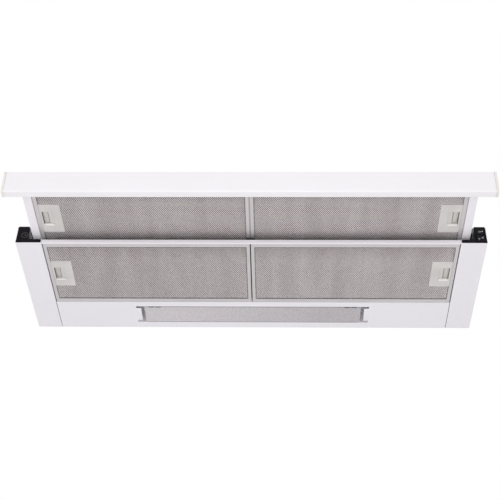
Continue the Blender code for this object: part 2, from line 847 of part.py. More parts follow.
def make_latch(side, name, edge, middle, base, reach):
    """Moulded plate with a finger pocket, the slider pulled in it, and the slider's return spring."""

    def box(label, near, far, half, low, high, material=None):
        """A box between two distances inwards from the frame's inner edge."""
        return mirrored_block(
            name + label,
            side,
            (edge - far, middle - half, base + low),
            (edge - near, middle + half, base + high),
            material,
        )

    plate = box(
        "_latch_plate", GAP, LATCH_LENGTH, LATCH_WIDTH / 2, -GAP, LATCH_HEIGHT, MATERIALS["grey_plastic"]
    )
    pocket_end = POCKET_START + POCKET_LENGTH
    pocket = box("_pocket_cut", POCKET_START, pocket_end, POCKET_WIDTH / 2, -0.002, POCKET_DEPTH)
    width = SLIDER_WIDTH / 2
    ceiling = SLIDER_RISE + SLIDER_THICKNESS
    chamber_end = SLIDER_LENGTH + GAP + SPRING_LENGTH + 2 * GAP
    track = box("_track_cut", -0.001, chamber_end, width + GAP, POCKET_DEPTH - 2 * GAP, ceiling + 0.0002)
    tab_end = pocket_end - GAP
    room = tab_end + LATCH_TRAVEL + GAP
    half = TAB_WIDTH / 2 + GAP
    retreat = box("_retreat_cut", pocket_end - 0.001, room, half, TAB_RISE - GAP, POCKET_DEPTH)
    spring_floor = ceiling - 2 * (SPRING_RADIUS + SPRING_WIRE) - 0.0004
    chamber = box("_chamber_cut", room - 0.001, chamber_end, 0.0045, spring_floor, ceiling)
    cut(plate, pocket, track, retreat, chamber)
    slider = box(
        "_latch_slider", -reach, SLIDER_LENGTH, width, SLIDER_RISE, ceiling, MATERIALS["grey_plastic"]
    )
    tab = box("_tab_join", TAB_START, tab_end, TAB_WIDTH / 2, TAB_RISE, SLIDER_RISE - GAP)
    neck = box(
        "_neck_join",
        TAB_START + NECK_INSET,
        tab_end,
        width - NECK_INSET,
        TAB_RISE + NECK_INSET,
        SLIDER_RISE + GAP,
    )
    join(slider, tab, neck)
    height = base + ceiling - SPRING_RADIUS - SPRING_WIRE - 0.0002
    start = edge - SLIDER_LENGTH - GAP - SPRING_WIRE
    make_spring(name + "_latch_spring", side, start, middle, height)


def make_spring(name, side, start, y, z):
    """A compression coil whose axis lies along X."""
    curve = bpy.data.curves.new(name, "CURVE")
    curve.dimensions = "3D"
    curve.bevel_depth = SPRING_WIRE
    curve.bevel_resolution = 2
    curve.use_fill_caps = True
    per_turn = 9
    count = SPRING_TURNS * per_turn
    run = SPRING_LENGTH - 2 * SPRING_WIRE
    spline = curve.splines.new("POLY")
    spline.points.add(count)
    for step, point in enumerate(spline.points):
        angle = 2 * math.pi * step / per_turn
        x = side * (start - run * step / count)
        point.co = (x, y + SPRING_RADIUS * math.cos(angle), z + SPRING_RADIUS * math.sin(angle), 1.0)
    obj = bpy.data.objects.new(name, curve)
    curve.materials.append(MATERIALS["steel"])
    PARTS.objects.link(obj)


# ---------------------------------------------------------------- upper housing and outlet


def make_motor_housing():
    half = HOUSING_WIDTH / 2
    wall = HOUSING_WALL
    low = GAP
    shell = block(
        "motor_housing",
        (-half, HOUSING_FRONT, low),
        (half, HOUSING_BACK, HOUSING_HEIGHT),
        MATERIALS["galvanised_sheet"],
    )
    flange = block(
        "housing_flange_join",
        (-half - HOUSING_FLANGE, HOUSING_FRONT - HOUSING_FLANGE, low),
        (half + HOUSING_FLANGE, HOUSING_BACK, low + wall),
    )
    inside = block(
        "housing_inside_cut",
        (-half + wall, HOUSING_FRONT + wall, -0.001),
        (half - wall, HOUSING_BACK - wall, HOUSING_HEIGHT - wall),
    )
    through = (HOUSING_HEIGHT - 0.01, HOUSING_HEIGHT + 0.01)
    outlet = rod("housing_outlet_cut", "Z", (0.0, OUTLET_Y), OUTLET_RADIUS, *through)
    gland_hole = rod("gland_hole_cut", "Z", gland_place(), GLAND_RADIUS + GAP, *through)
    join(shell, flange)
    cut(shell, inside, outlet, gland_hole)


def gland_place():
    return (-HOUSING_WIDTH / 2 + 0.040, HOUSING_BACK - 0.040)


def make_outlet_collar():
    """Round spigot with a flange below and an inner ledge that the flaps rest on."""
    seat = HOUSING_HEIGHT + GAP
    top = seat + COLLAR_HEIGHT
    outer = OUTLET_RADIUS
    inner = OUTLET_RADIUS - COLLAR_WALL
    ledge_top = seat + FLAP_LEVEL - FLAP_THICKNESS / 2 - GAP
    flange_top = seat + 0.0012
    profile = [
        (outer, top),
        (outer, flange_top),
        (outer + COLLAR_FLANGE, flange_top),
        (outer + COLLAR_FLANGE, seat),
        (inner, seat),
        (inner, ledge_top - 0.001),
        (inner - COLLAR_LEDGE, ledge_top - 0.001),
        (inner - COLLAR_LEDGE, ledge_top),
        (inner, ledge_top),
        (inner, top),
    ]
    collar = turned("outlet_collar", profile, (0.0, OUTLET_Y), MATERIALS["black_plastic"], 48)
    level = seat + FLAP_LEVEL
    half = PIN_RADIUS + 3 * GAP
    seat_cut = block(
        "pin_seat_cut",
        (-inner - JOIN_STEP, OUTLET_Y - half, level - half),
        (inner + JOIN_STEP, OUTLET_Y + half, level + half),
    )
    cut(collar, seat_cut)


def make_flaps():
    """Two half-round flaps that share one pin across the spigot and lift with the air."""
    level = HOUSING_HEIGHT + GAP + FLAP_LEVEL
    inner = OUTLET_RADIUS - COLLAR_WALL
    reach = inner - GAP
    rod("flap_pin", "X", (OUTLET_Y, level), PIN_RADIUS, -reach, reach, MATERIALS["steel"], steps=16)
    radius = inner - FLAP_CLEARANCE
    knuckle = PIN_RADIUS + GAP + KNUCKLE_WALL
    half = FLAP_THICKNESS / 2
    for facing, name, places in ((-1, "flap_front", (-0.050, 0.050)), (1, "flap_rear", (-0.020, 0.020))):
        start = math.degrees(math.asin((knuckle + GAP) / radius))
        outline = [(x, OUTLET_Y + facing * y) for x, y in arc((0.0, 0.0), radius, start, 180 - start, 24)]
        origin = (0.0, OUTLET_Y, level)
        flap = prism(name, [outline], "Z", level - half, level + half, MATERIALS["grey_plastic"], origin)
        for index, place in enumerate(places):
            low, high = place - KNUCKLE_LENGTH / 2, place + KNUCKLE_LENGTH / 2
            barrel = rod(f"{name}_barrel_{index}", "X", (OUTLET_Y, level), knuckle, low, high, steps=20)
            web = block(
                f"{name}_web_{index}",
                (low, min(OUTLET_Y, OUTLET_Y + facing * 2 * knuckle), level - half),
                (high, max(OUTLET_Y, OUTLET_Y + facing * 2 * knuckle), level + half),
            )
            join(flap, web, barrel)
        bore = rod(name + "_bore_cut", "X", (OUTLET_Y, level), PIN_RADIUS + GAP, -reach, reach, steps=16)
        cut(flap, bore)


# ---------------------------------------------------------------- blower


def scroll_centre():
    """Impeller axis, set so that the scroll's mouth comes under the round outlet."""
    mouth_middle = (SCROLL_START * math.cos(math.radians(TONGUE_ANGLE)) + SCROLL_END) / 2
    return OUTLET_Y - mouth_middle, SCROLL_CENTRE_HEIGHT


def scroll_outline(offset, top):
    """A spiral that opens from the tongue round to the rear, then runs straight up to the mouth."""
    centre_y, centre_z = scroll_centre()
    mouth = SCROLL_START * math.cos(math.radians(TONGUE_ANGLE)) - offset
    first = math.degrees(math.acos(mouth / (SCROLL_START + offset)))
    steps = 30
    points = []
    for step in range(steps + 1):
        angle = first + (360 - first) * step / steps
        share = (angle - TONGUE_ANGLE) / (360 - TONGUE_ANGLE)
        radius = SCROLL_START + (SCROLL_END - SCROLL_START) * share + offset
        turn = math.radians(angle)
        points.append((centre_y + radius * math.cos(turn), centre_z + radius * math.sin(turn)))
    points.append((centre_y + SCROLL_END + offset, top))
    points.append((points[0][0], top))
    return points


def make_blower_housing():
    top = HOUSING_HEIGHT - HOUSING_WALL - GAP
    half = SCROLL_HALF_WIDTH
    wall = SCROLL_WALL
    centre = scroll_centre()
    outline = scroll_outline(wall, top)
    scroll = prism("blower_housing", [outline], "X", -half, half, MATERIALS["grey_plastic"])
    inside = prism("scroll_inside_cut", [scroll_outline(0.0, top + 0.01)], "X", -half + wall, half - wall)
    inlets = rod("scroll_inlet_cut", "X", centre, INLET_RADIUS, -half - 0.01, half + 0.01)
    cut(scroll, inside, inlets)


def make_impeller():
    centre = scroll_centre()
    origin = (0.0, *centre)
    half = SCROLL_HALF_WIDTH - SCROLL_WALL - IMPELLER_CLEARANCE
    disc = IMPELLER_RADIUS - BLADE_DEPTH / 2
    web = DISC_THICKNESS / 2
    wheel = rod("fan_impeller", "X", centre, disc, -web, web, MATERIALS["black_plastic"], origin)
    hub = rod("impeller_hub_join", "X", centre, HUB_RADIUS, -HUB_LENGTH, HUB_LENGTH / 3)
    blades = make_blades(centre, half)
    join(wheel, hub, blades)
    for label, low in (("left", -half), ("right", half - RIM_THICKNESS)):
        rim = rod(f"impeller_rim_{label}", "X", centre, IMPELLER_RADIUS, low, low + RIM_THICKNESS)
        radius = IMPELLER_RADIUS - BLADE_DEPTH
        end = low + RIM_THICKNESS + 0.001
        cut(rim, rod(f"impeller_rim_hole_{label}", "X", centre, radius, low - 0.001, end))
        join(wheel, rim)
    radius = SHAFT_RADIUS + GAP
    cut(wheel, rod("impeller_bore_cut", "X", centre, radius, -HUB_LENGTH - 0.001, HUB_LENGTH, steps=20))


def make_blades(centre, half):
    """All the blades in one helper: flat strips set at an angle round the wheel."""
    bm = bmesh.new()
    overlap = RIM_THICKNESS / 2
    for index in range(BLADE_COUNT):
        made = bmesh.ops.create_cube(bm, size=1.0)["verts"]
        length = 2 * (half - overlap)
        bmesh.ops.scale(bm, vec=(length, BLADE_DEPTH * 0.9, BLADE_THICKNESS), verts=made)
        lean = Matrix.Rotation(math.radians(BLADE_PITCH_ANGLE), 4, "X")
        out = Matrix.Translation((0.0, IMPELLER_RADIUS - BLADE_DEPTH / 2, 0.0))
        around = Matrix.Rotation(2 * math.pi * index / BLADE_COUNT, 4, "X")
        place = Matrix.Translation((0.0, *centre))
        bmesh.ops.transform(bm, matrix=place @ around @ out @ lean, verts=made)
    mesh = bpy.data.meshes.new("impeller_blades_join")
    bm.to_mesh(mesh)
    bm.free()
    return register("impeller_blades_join", mesh, None)


def make_motor():
    centre = scroll_centre()
    origin = (0.0, *centre)
    low = MOTOR_OFFSET
    motor = rod("fan_motor", "X", centre, MOTOR_RADIUS, low, low + MOTOR_LENGTH, MATERIALS["steel"])
    bore_end = low + SHAFT_IN_MOTOR + GAP
    cut(motor, rod("motor_bore_cut", "X", centre, SHAFT_RADIUS + GAP, low - 0.001, bore_end, steps=20))
    start = -HUB_LENGTH - SHAFT_TAIL
    end = low + SHAFT_IN_MOTOR
    rod("motor_shaft", "X", centre, SHAFT_RADIUS, start, end, MATERIALS["steel"], origin, 20)
    near = SCROLL_HALF_WIDTH + GAP
    far = near + BRACKET_THICKNESS
    rim = MOTOR_RADIUS + GAP + BRACKET_RIM
    bracket = rod("motor_bracket", "X", centre, rim, near, far, MATERIALS["galvanised_sheet"])
    for index in range(3):
        arm = block(
            f"bracket_arm_{index}",
            (near, 0.0, -BRACKET_ARM / 2),
            (far, INLET_RADIUS + BRACKET_REACH, BRACKET_ARM / 2),
        )
        turn = Matrix.Rotation(math.radians(90 + 120 * index), 4, "X")
        arm.data.transform(Matrix.Translation((0.0, *centre)) @ turn)
        join(bracket, arm)
    cut(bracket, rod("bracket_hole_cut", "X", centre, MOTOR_RADIUS + GAP, near - 0.001, far + 0.001))


# ---------------------------------------------------------------- electrical parts and lamp


def make_electrical_parts():
    wall = HOUSING_WALL + GAP
    right = HOUSING_WIDTH / 2 - wall
    rod(
        "capacitor",
        "Y",
        (right - CAPACITOR_RADIUS, HOUSING_HEIGHT - wall - CAPACITOR_RADIUS),
        CAPACITOR_RADIUS,
        OUTLET_Y - CAPACITOR_LENGTH / 2,
        OUTLET_Y + CAPACITOR_LENGTH / 2,
        MATERIALS["white_plastic"],
        steps=32,
    )
    left = -HOUSING_WIDTH / 2 + wall
    front = HOUSING_FRONT + wall
    top = HOUSING_HEIGHT - wall
    block(
        "terminal_box",
        (left, front, top - TERMINAL_BOX[2]),
        (left + TERMINAL_BOX[0], front + TERMINAL_BOX[1], top),
        MATERIALS["grey_plastic"],
    )
    flange_low = HOUSING_HEIGHT + GAP
    profile = [
        (GLAND_RADIUS - 0.001, flange_low + 0.008),
        (GLAND_RADIUS, flange_low + 0.003),
        (GLAND_RADIUS + 0.003, flange_low + 0.003),
        (GLAND_RADIUS + 0.003, flange_low),
        (GLAND_RADIUS, flange_low),
        (GLAND_RADIUS, flange_low - 0.005),
        (GLAND_BORE, flange_low - 0.005),
        (GLAND_BORE, flange_low + 0.008),
    ]
    turned("cable_gland", profile, gland_place(), MATERIALS["black_plastic"], 24)


def make_lamp():
    """Enamelled tray above the aperture, the hinged lens, the tube holders and the tubes."""
    half = LAMP_LENGTH / 2
    low = UNDERSIDE + SHEET + GAP
    tray = block(
        "lamp_tray",
        (-half, LAMP_FRONT - SHEET, low),
        (half, LAMP_BACK + SHEET, -LAMP_TOP),
        MATERIALS["white_enamel"],
    )
    flange = block(
        "lamp_flange_join",
        (-half - LAMP_FLANGE, LAMP_FRONT - LAMP_FLANGE, low),
        (half + LAMP_FLANGE, LAMP_BACK + LAMP_FLANGE, low + SHEET),
    )
    inside = block(
        "lamp_inside_cut",
        (-half + SHEET, LAMP_FRONT, UNDERSIDE - 0.001),
        (half - SHEET, LAMP_BACK, -LAMP_TOP - SHEET),
    )
    join(tray, flange)
    cut(tray, inside)
    for side, label in ((-1, "left"), (1, "right")):
        near = half - HOLDER_INSET - HOLDER_LENGTH
        middle = (LAMP_FRONT + LAMP_BACK) / 2
        high = -LAMP_TOP - SHEET - GAP
        mirrored_block(
            "lamp_holder_" + label,
            side,
            (near, middle - HOLDER_SIZE / 2, high - HOLDER_SIZE),
            (near + HOLDER_LENGTH, middle + HOLDER_SIZE / 2, high),
            MATERIALS["white_plastic"],
        )
        tube = span(side, near - GAP - TUBE_LENGTH, near - GAP)
        height = high - HOLDER_SIZE / 2
        place = (middle, height)
        rod("lamp_tube_" + label, "X", place, TUBE_RADIUS, *tube, MATERIALS["opal_glass"], steps=24)
    make_lens(half - LENS_END)


def make_lens(half):
    """Shallow trough hinged along its rear edge."""
    front = LAMP_FRONT + 2 * GAP
    back = LAMP_BACK - 2 * GAP
    low = UNDERSIDE - GAP
    wall = LENS_WALL
    outline = [
        (front, low),
        (back, low),
        (back, low + LENS_LIP),
        (back - wall, low + LENS_LIP),
        (back - wall, low + wall),
        (front + wall, low + wall),
        (front + wall, low + LENS_LIP),
        (front, low + LENS_LIP),
    ]
    origin = (0.0, back, low)
    prism("lamp_lens", [outline], "X", -half, half, MATERIALS["lens"], origin)


def make_all():
    make_canopy_shell()
    make_front_crossbar()
    make_rear_panel()
    make_centre_bars()
    make_visor_tray()
    make_facia()
    for side, name in ((-1, "left"), (1, "right")):
        make_side_panel(side, "side_panel_" + name)
        cap = make_front_cap(side, "front_cap_" + name)
        make_rail_pair(side, name)
        rear_front = CROSSBAR_BACK + FILTER_CLEARANCE
        rear_base = UNDERSIDE + FILTER_RISE
        make_filter(side, "rear_" + name, rear_front, rear_base, FILTER_OUTER, FILTER_END, NOSE)
        front_sizes = (VISOR_FILTER_OUTER, VISOR_FILTER_END, VISOR_NOSE)
        make_filter(side, "front_" + name, visor_filter_front(), visor_filter_base(), *front_sizes)
    make_switches(cap)
    make_motor_housing()
    make_outlet_collar()
    make_flaps()
    make_blower_housing()
    make_impeller()
    make_motor()
    make_electrical_parts()
    make_lamp()


clear_scene()
PARTS = new_collection(COLLECTION_NAME)
HELPERS = new_collection("cutters_and_joins")
MATERIALS = {
    "white_enamel": make_material("white_enamel", (0.83, 0.82, 0.84), 0.35),
    "cream_plastic": make_material("cream_plastic", (0.80, 0.77, 0.70), 0.45),
    "black_plastic": make_material("black_plastic", (0.02, 0.02, 0.022), 0.40),
    "black_gloss": make_material("black_gloss", (0.015, 0.015, 0.017), 0.25),
    "grey_plastic": make_material("grey_plastic", (0.62, 0.61, 0.59), 0.50),
    "white_plastic": make_material("white_plastic", (0.80, 0.80, 0.79), 0.45),
    "aluminium": make_material("aluminium", (0.66, 0.64, 0.62), 0.40, 0.8),
    "mesh": make_material("mesh", (0.45, 0.43, 0.43), 0.50, 0.8),
    "galvanised_sheet": make_material("galvanised_sheet", (0.58, 0.59, 0.60), 0.45, 0.9),
    "steel": make_material("steel", (0.55, 0.55, 0.56), 0.35, 1.0),
    "lens": make_material("lens", (0.62, 0.60, 0.62), 0.45),
    "opal_glass": make_material("opal_glass", (0.90, 0.90, 0.88), 0.20),
}
make_all()
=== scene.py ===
"""Looks of the slide-out range hood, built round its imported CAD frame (metres, +Z up, front at -Y).

The camera and lights come first, then one procedural material for each slot, then the pieces that
carry the fine detail: expanded-metal faces, latch covers, switch marks, the lens, folds and screws.
"""

import json
import math

import bmesh
import bpy
from mathutils import Matrix, Vector
from mathutils.bvhtree import BVHTree


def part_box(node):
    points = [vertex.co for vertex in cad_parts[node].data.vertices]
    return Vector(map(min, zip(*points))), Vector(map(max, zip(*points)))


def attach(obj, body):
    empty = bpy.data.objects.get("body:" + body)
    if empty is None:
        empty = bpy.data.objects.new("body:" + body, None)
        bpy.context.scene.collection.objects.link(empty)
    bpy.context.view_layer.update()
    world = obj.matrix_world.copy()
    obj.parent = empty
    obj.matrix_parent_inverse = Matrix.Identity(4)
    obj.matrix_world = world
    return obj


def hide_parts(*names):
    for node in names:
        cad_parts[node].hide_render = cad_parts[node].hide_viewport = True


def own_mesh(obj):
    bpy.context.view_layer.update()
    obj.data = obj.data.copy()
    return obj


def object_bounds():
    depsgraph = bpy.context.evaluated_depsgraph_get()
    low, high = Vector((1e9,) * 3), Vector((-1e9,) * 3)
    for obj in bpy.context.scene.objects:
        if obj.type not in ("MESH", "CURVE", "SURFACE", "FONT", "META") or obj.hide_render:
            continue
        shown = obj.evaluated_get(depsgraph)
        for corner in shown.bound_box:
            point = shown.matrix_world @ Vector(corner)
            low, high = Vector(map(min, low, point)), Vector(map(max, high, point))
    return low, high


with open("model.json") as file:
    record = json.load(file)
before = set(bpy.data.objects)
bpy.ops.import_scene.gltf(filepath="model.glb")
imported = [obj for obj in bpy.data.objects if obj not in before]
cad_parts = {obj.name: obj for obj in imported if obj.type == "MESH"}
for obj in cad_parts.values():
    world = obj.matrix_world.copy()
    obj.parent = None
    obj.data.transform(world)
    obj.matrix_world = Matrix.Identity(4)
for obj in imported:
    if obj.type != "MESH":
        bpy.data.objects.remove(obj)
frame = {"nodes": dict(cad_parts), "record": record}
CAD_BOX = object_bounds()
NODES = frame["nodes"]
SIDES = ((-1, "left"), (1, "right"))
ROWS = ("rear", "front")


# ---------------------------------------------------------------- stage

CAMERA_PLACE = Vector((0.063, -2.006, -1.432))
CAMERA_PITCH = 38.56
CAMERA_YAW = 2.09
CAMERA_ROLL = 1.39
CAMERA_LENS = 84.26
FLOOR_HEIGHT = -1.60
WORLD_STRENGTH = 1.0
LIGHTS = (
    ("front_light", (0.0, -2.1, -1.5), 0.6, 18.0),
    ("under_light", (-0.2, -1.3, -1.4), 1.1, 5.0),
)


def make_camera():
    data = bpy.data.cameras.new("camera")
    data.lens = CAMERA_LENS
    data.sensor_width = 36.0
    camera = bpy.data.objects.new("camera", data)
    turn = Matrix.Rotation(math.radians(CAMERA_YAW), 4, "Z")
    tilt = Matrix.Rotation(math.radians(90.0 + CAMERA_PITCH), 4, "X")
    roll = Matrix.Rotation(math.radians(CAMERA_ROLL), 4, "Z")
    camera.matrix_world = Matrix.Translation(CAMERA_PLACE) @ turn @ tilt @ roll
    bpy.context.scene.collection.objects.link(camera)
    bpy.context.scene.camera = camera


def make_area_light(name, place, size, power):
    """A square soft light that faces the hood."""
    data = bpy.data.lights.new(name, "AREA")
    data.size = size
    data.energy = power
    light = bpy.data.objects.new(name, data)
    aim = (Vector((0.0, -0.2, 0.0)) - Vector(place)).to_track_quat("-Z", "Y")
    light.matrix_world = Matrix.Translation(place) @ aim.to_matrix().to_4x4()
    bpy.context.scene.collection.objects.link(light)


def make_stage():
    world = bpy.data.worlds.new("studio")
    world.use_nodes = True
    background = world.node_tree.nodes["Background"]
    background.inputs["Color"].default_value = (1.0, 1.0, 1.0, 1.0)
    background.inputs["Strength"].default_value = WORLD_STRENGTH
    bpy.context.scene.world = world
    bpy.context.scene.view_settings.view_transform = "Standard"
    bm = bmesh.new()
    bmesh.ops.create_grid(bm, x_segments=1, y_segments=1, size=6.0)
    bmesh.ops.translate(bm, vec=(0.0, 0.0, FLOOR_HEIGHT), verts=bm.verts)
    floor = new_object("floor", bm, [plain_floor()])
    for light in LIGHTS:
        make_area_light(*light)


# ---------------------------------------------------------------- material nodes

# Painted shade along each mesh face's front edge: how dark it gets, how far back it reaches, and the
# colour shares of the mix's dark end, which the soft bands also reach.
FRONT_SHADE_WEIGHT = 0.70
FRONT_SHADE_DEPTH = 0.045
SHADE_AND_BAND_SHARE = (0.80, 0.76, 0.755)

class Finish:
    """A Principled material; its varying inputs are built from noise in the object's own coordinates."""

    def __init__(self, name, roughness, metallic=0.0, specular=0.5):
        self.material = bpy.data.materials.new(name)
        self.material.use_nodes = True
        self.tree = self.material.node_tree
        self.shader = self.tree.nodes["Principled BSDF"]
        self.shader.inputs["Roughness"].default_value = roughness
        self.shader.inputs["Metallic"].default_value = metallic
        self.shader.inputs["Specular IOR Level"].default_value = specular
        self.place = self.tree.nodes.new("ShaderNodeTexCoord").outputs["Object"]

    def link(self, source, target):
        self.tree.links.new(source, target)

    def stretched(self, stretch):
        """The object's coordinates, scaled on each axis."""
        if stretch is None:
            return self.place
        mapping = self.tree.nodes.new("ShaderNodeMapping")
        mapping.inputs["Scale"].default_value = stretch
        self.link(self.place, mapping.inputs["Vector"])
        return mapping.outputs["Vector"]

    def noise(self, scale, detail=2.0, stretch=None):
        texture = self.tree.nodes.new("ShaderNodeTexNoise")
        texture.inputs["Scale"].default_value = scale
        texture.inputs["Detail"].default_value = detail
        self.link(self.stretched(stretch), texture.inputs["Vector"])
        return texture.outputs["Fac"]

    def cells(self, scale, output="Color", stretch=None):
        texture = self.tree.nodes.new("ShaderNodeTexVoronoi")
        texture.inputs["Scale"].default_value = scale
        self.link(self.stretched(stretch), texture.inputs["Vector"])
        return texture.outputs[output]

    def span(self, source, low, high, start=0.3, end=0.7):
        """Source, spread so that start becomes low and end becomes high."""
        node = self.tree.nodes.new("ShaderNodeMapRange")
        for name, value in (("From Min", start), ("From Max", end), ("To Min", low), ("To Max", high)):
            node.inputs[name].default_value = value
        self.link(source, node.inputs["Value"])
        return node.outputs["Result"]

    def colour(self, source, first, second, start=0.3, end=0.7):
        """Base colour between two colours, led by source."""
        mix = self.tree.nodes.new("ShaderNodeMix")
        mix.data_type = "RGBA"
        mix.inputs["A"].default_value = (*first, 1.0)
        mix.inputs["B"].default_value = (*second, 1.0)
        self.link(self.span(source, 0.0, 1.0, start, end), mix.inputs["Factor"])
        self.link(mix.outputs["Result"], self.shader.inputs["Base Color"])

    def roughness(self, source, low, high):
        self.link(self.span(source, low, high), self.shader.inputs["Roughness"])

    def relief(self, source, depth, strength=1.0):
        """Fine relief of the surface, of a given depth in metres."""
        bump = self.tree.nodes.new("ShaderNodeBump")
        bump.inputs["Distance"].default_value = depth
        bump.inputs["Strength"].default_value = strength
        self.link(source, bump.inputs["Height"])
        self.link(bump.outputs["Normal"], self.shader.inputs["Normal"])


def shaded(colour, factor):
    return tuple(value * factor for value in colour)


def plain_floor():
    finish = Finish("floor", 0.75)
    finish.colour(finish.noise(3.0), (0.85, 0.85, 0.85), (0.87, 0.87, 0.87))
    return finish.material


def powder_coat(name, colour, roughness):
    """Enamelled sheet: a faint orange peel, with the slightest drift in tone across it."""
    finish = Finish(name, roughness)
    finish.colour(finish.noise(5.0, 3.0), shaded(colour, 0.99), shaded(colour, 1.01))
    finish.roughness(finish.noise(200.0, 2.0), roughness - 0.02, roughness + 0.02)
    finish.relief(finish.noise(850.0, 2.0), 0.00002, 0.25)
    return finish.material


def moulded(name, colour, roughness, specular=0.5, grain=1400.0, depth=0.00004):
    """Moulded plastic with a fine spark-eroded grain."""
    finish = Finish(name, roughness, specular=specular)
    finish.colour(finish.noise(25.0, 3.0), shaded(colour, 0.93), shaded(colour, 1.06))
    finish.roughness(finish.noise(180.0, 4.0), roughness - 0.06, roughness + 0.08)
    finish.relief(finish.noise(grain, 3.0), depth, 0.5)
    return finish.material


def rolled_strip(name, colour, roughness, metallic):
    """Rolled aluminium strip: fine lines along its length and a soft cloudiness."""
    finish = Finish(name, roughness, metallic)
    finish.colour(finish.noise(14.0, 4.0), shaded(colour, 0.95), shaded(colour, 1.04))
    lines = finish.noise(60.0, 3.0, (1.0, 30.0, 30.0))
    finish.roughness(lines, roughness - 0.08, roughness + 0.10)
    finish.relief(lines, 0.00002, 0.4)
    return finish.material


def expanded_metal(name, colour, roughness, metallic, front):
    """Slit and drawn aluminium: soft bands run down the sheet, and painted shade darkens its front edge.
    """
    finish = Finish(name, roughness, metallic)
    bands = finish.span(finish.noise(1.0, 3.0, (28.0, 3.5, 1.0)), 0.35, 1.0)
    place = finish.tree.nodes.new("ShaderNodeSeparateXYZ")
    finish.link(finish.place, place.inputs["Vector"])
    # Painted shade: darkest at the mesh's front edge, fading out within 45 mm behind it.
    front_shade = finish.span(place.outputs["Y"], -FRONT_SHADE_WEIGHT, 0.0, front, front + FRONT_SHADE_DEPTH)
    both = finish.tree.nodes.new("ShaderNodeMath")
    both.operation = "ADD"
    finish.link(bands, both.inputs[0])
    finish.link(front_shade, both.inputs[1])
    shade_and_band_colour = tuple(value * share for value, share in zip(colour, SHADE_AND_BAND_SHARE))
    finish.colour(both.outputs["Value"], shade_and_band_colour, shaded(colour, 1.06), 0.0, 1.0)
    finish.roughness(finish.noise(500.0, 2.0), roughness - 0.06, roughness + 0.10)
    finish.relief(finish.noise(2500.0, 2.0), 0.00003, 0.5)
    return finish.material


def packed_layers(name):
    """The shadowed layers of mesh behind the face: dark, with glints of crossing strands."""
    finish = Finish(name, 0.6, 0.4)
    strands = finish.cells(1.0, "Distance", (270.0, 161.0, 200.0))
    finish.colour(strands, (0.20, 0.19, 0.19), (0.035, 0.033, 0.034), 0.15, 0.55)
    finish.relief(strands, 0.0006, 0.8)
    return finish.material


def zinc_sheet(name):
    """Galvanised sheet with its frosted spangle."""
    finish = Finish(name, 0.42, 0.85)
    spangle = finish.cells(160.0)
    finish.colour(spangle, (0.54, 0.56, 0.58), (0.63, 0.65, 0.67), 0.1, 0.9)
    finish.roughness(spangle, 0.34, 0.52)
    finish.relief(finish.noise(400.0, 3.0), 0.00002, 0.3)
    return finish.material


def bright_steel(name):
    finish = Finish(name, 0.32, 1.0)
    finish.colour(finish.noise(30.0, 3.0), (0.50, 0.50, 0.51), (0.60, 0.60, 0.61))
    lines = finish.noise(80.0, 2.0, (25.0, 1.0, 25.0))
    finish.roughness(lines, 0.24, 0.42)
    finish.relief(lines, 0.00002, 0.4)
    return finish.material


def opal_glass(name):
    finish = Finish(name, 0.18)
    finish.colour(finish.noise(12.0, 2.0), (0.86, 0.86, 0.84), (0.93, 0.93, 0.91))
    finish.roughness(finish.noise(90.0), 0.14, 0.24)
    finish.shader.inputs["Subsurface Weight"].default_value = 0.3
    finish.shader.inputs["Subsurface Scale"].default_value = 0.002
    return finish.material


def frosted_lens(name):
    """Translucent moulded sheet with a pebbled face, and painted shade that darkens it towards the right.
    """
    finish = Finish(name, 0.38)
    along = finish.tree.nodes.new("ShaderNodeSeparateXYZ")
    finish.link(finish.place, along.inputs["Vector"])
    # Painted shade: lighter at the left end of the lens, darker at the right. Fine noise is added on top.
    right_shade = finish.span(along.outputs["X"], 0.75, 0.25, -0.15, 0.15)
    shade_and_cloud = finish.tree.nodes.new("ShaderNodeMath")
    shade_and_cloud.operation = "ADD"
    finish.link(right_shade, shade_and_cloud.inputs[0])
    finish.link(finish.span(finish.noise(620.0, 2.0, (1.0, 0.35, 1.0)), -0.35, 0.35), shade_and_cloud.inputs[1])
    finish.colour(shade_and_cloud.outputs["Value"], (0.36, 0.335, 0.355), (0.56, 0.53, 0.55), 0.0, 1.0)
    finish.roughness(finish.noise(200.0, 3.0), 0.28, 0.48)
    finish.relief(finish.cells(700.0, "Distance"), 0.00012, 0.6)
    finish.shader.inputs["Subsurface Weight"].default_value = 0.15
    finish.shader.inputs["Subsurface Scale"].default_value = 0.002
    return finish.material


def print_and_sheen_finish(name, colour):
    """Pad-printed ink, slightly uneven. It also gives the painted sheen on the blank cap's ring."""
    finish = Finish(name, 0.55)
    finish.colour(finish.noise(900.0, 3.0), shaded(colour, 0.8), colour)
    return finish.material


def make_materials():
    return {
        "white_enamel": powder_coat("white_enamel", (0.715, 0.69, 0.73), 0.36),
        "facia_enamel": powder_coat("facia_enamel", (0.735, 0.715, 0.745), 0.30),
        "cream_plastic": moulded("cream_plastic", (0.70, 0.675, 0.645), 0.42),
        "black_plastic": moulded("black_plastic", (0.006, 0.0045, 0.008), 0.42, 0.08),
        "black_gloss": moulded("black_gloss", (0.005, 0.004, 0.007), 0.24, 0.12, 700.0, 0.00001),
        "galvanised_sheet": zinc_sheet("galvanised_sheet"),
        "steel": bright_steel("steel"),
        "dark_grey_plastic": moulded("dark_grey_plastic", (0.16, 0.165, 0.17), 0.5),
        "white_plastic": moulded("white_plastic", (0.80, 0.80, 0.79), 0.45),
        "opal_glass": opal_glass("opal_glass"),
        "lens_plastic": frosted_lens("lens_plastic"),
        "filter_aluminium": rolled_strip("filter_aluminium", (0.58, 0.55, 0.56), 0.42, 0.55),
        "mesh_aluminium": packed_layers("mesh_core"),
        "latch_plastic": moulded("latch_plastic", (0.545, 0.52, 0.51), 0.45),
    }


# ---------------------------------------------------------------- object helpers

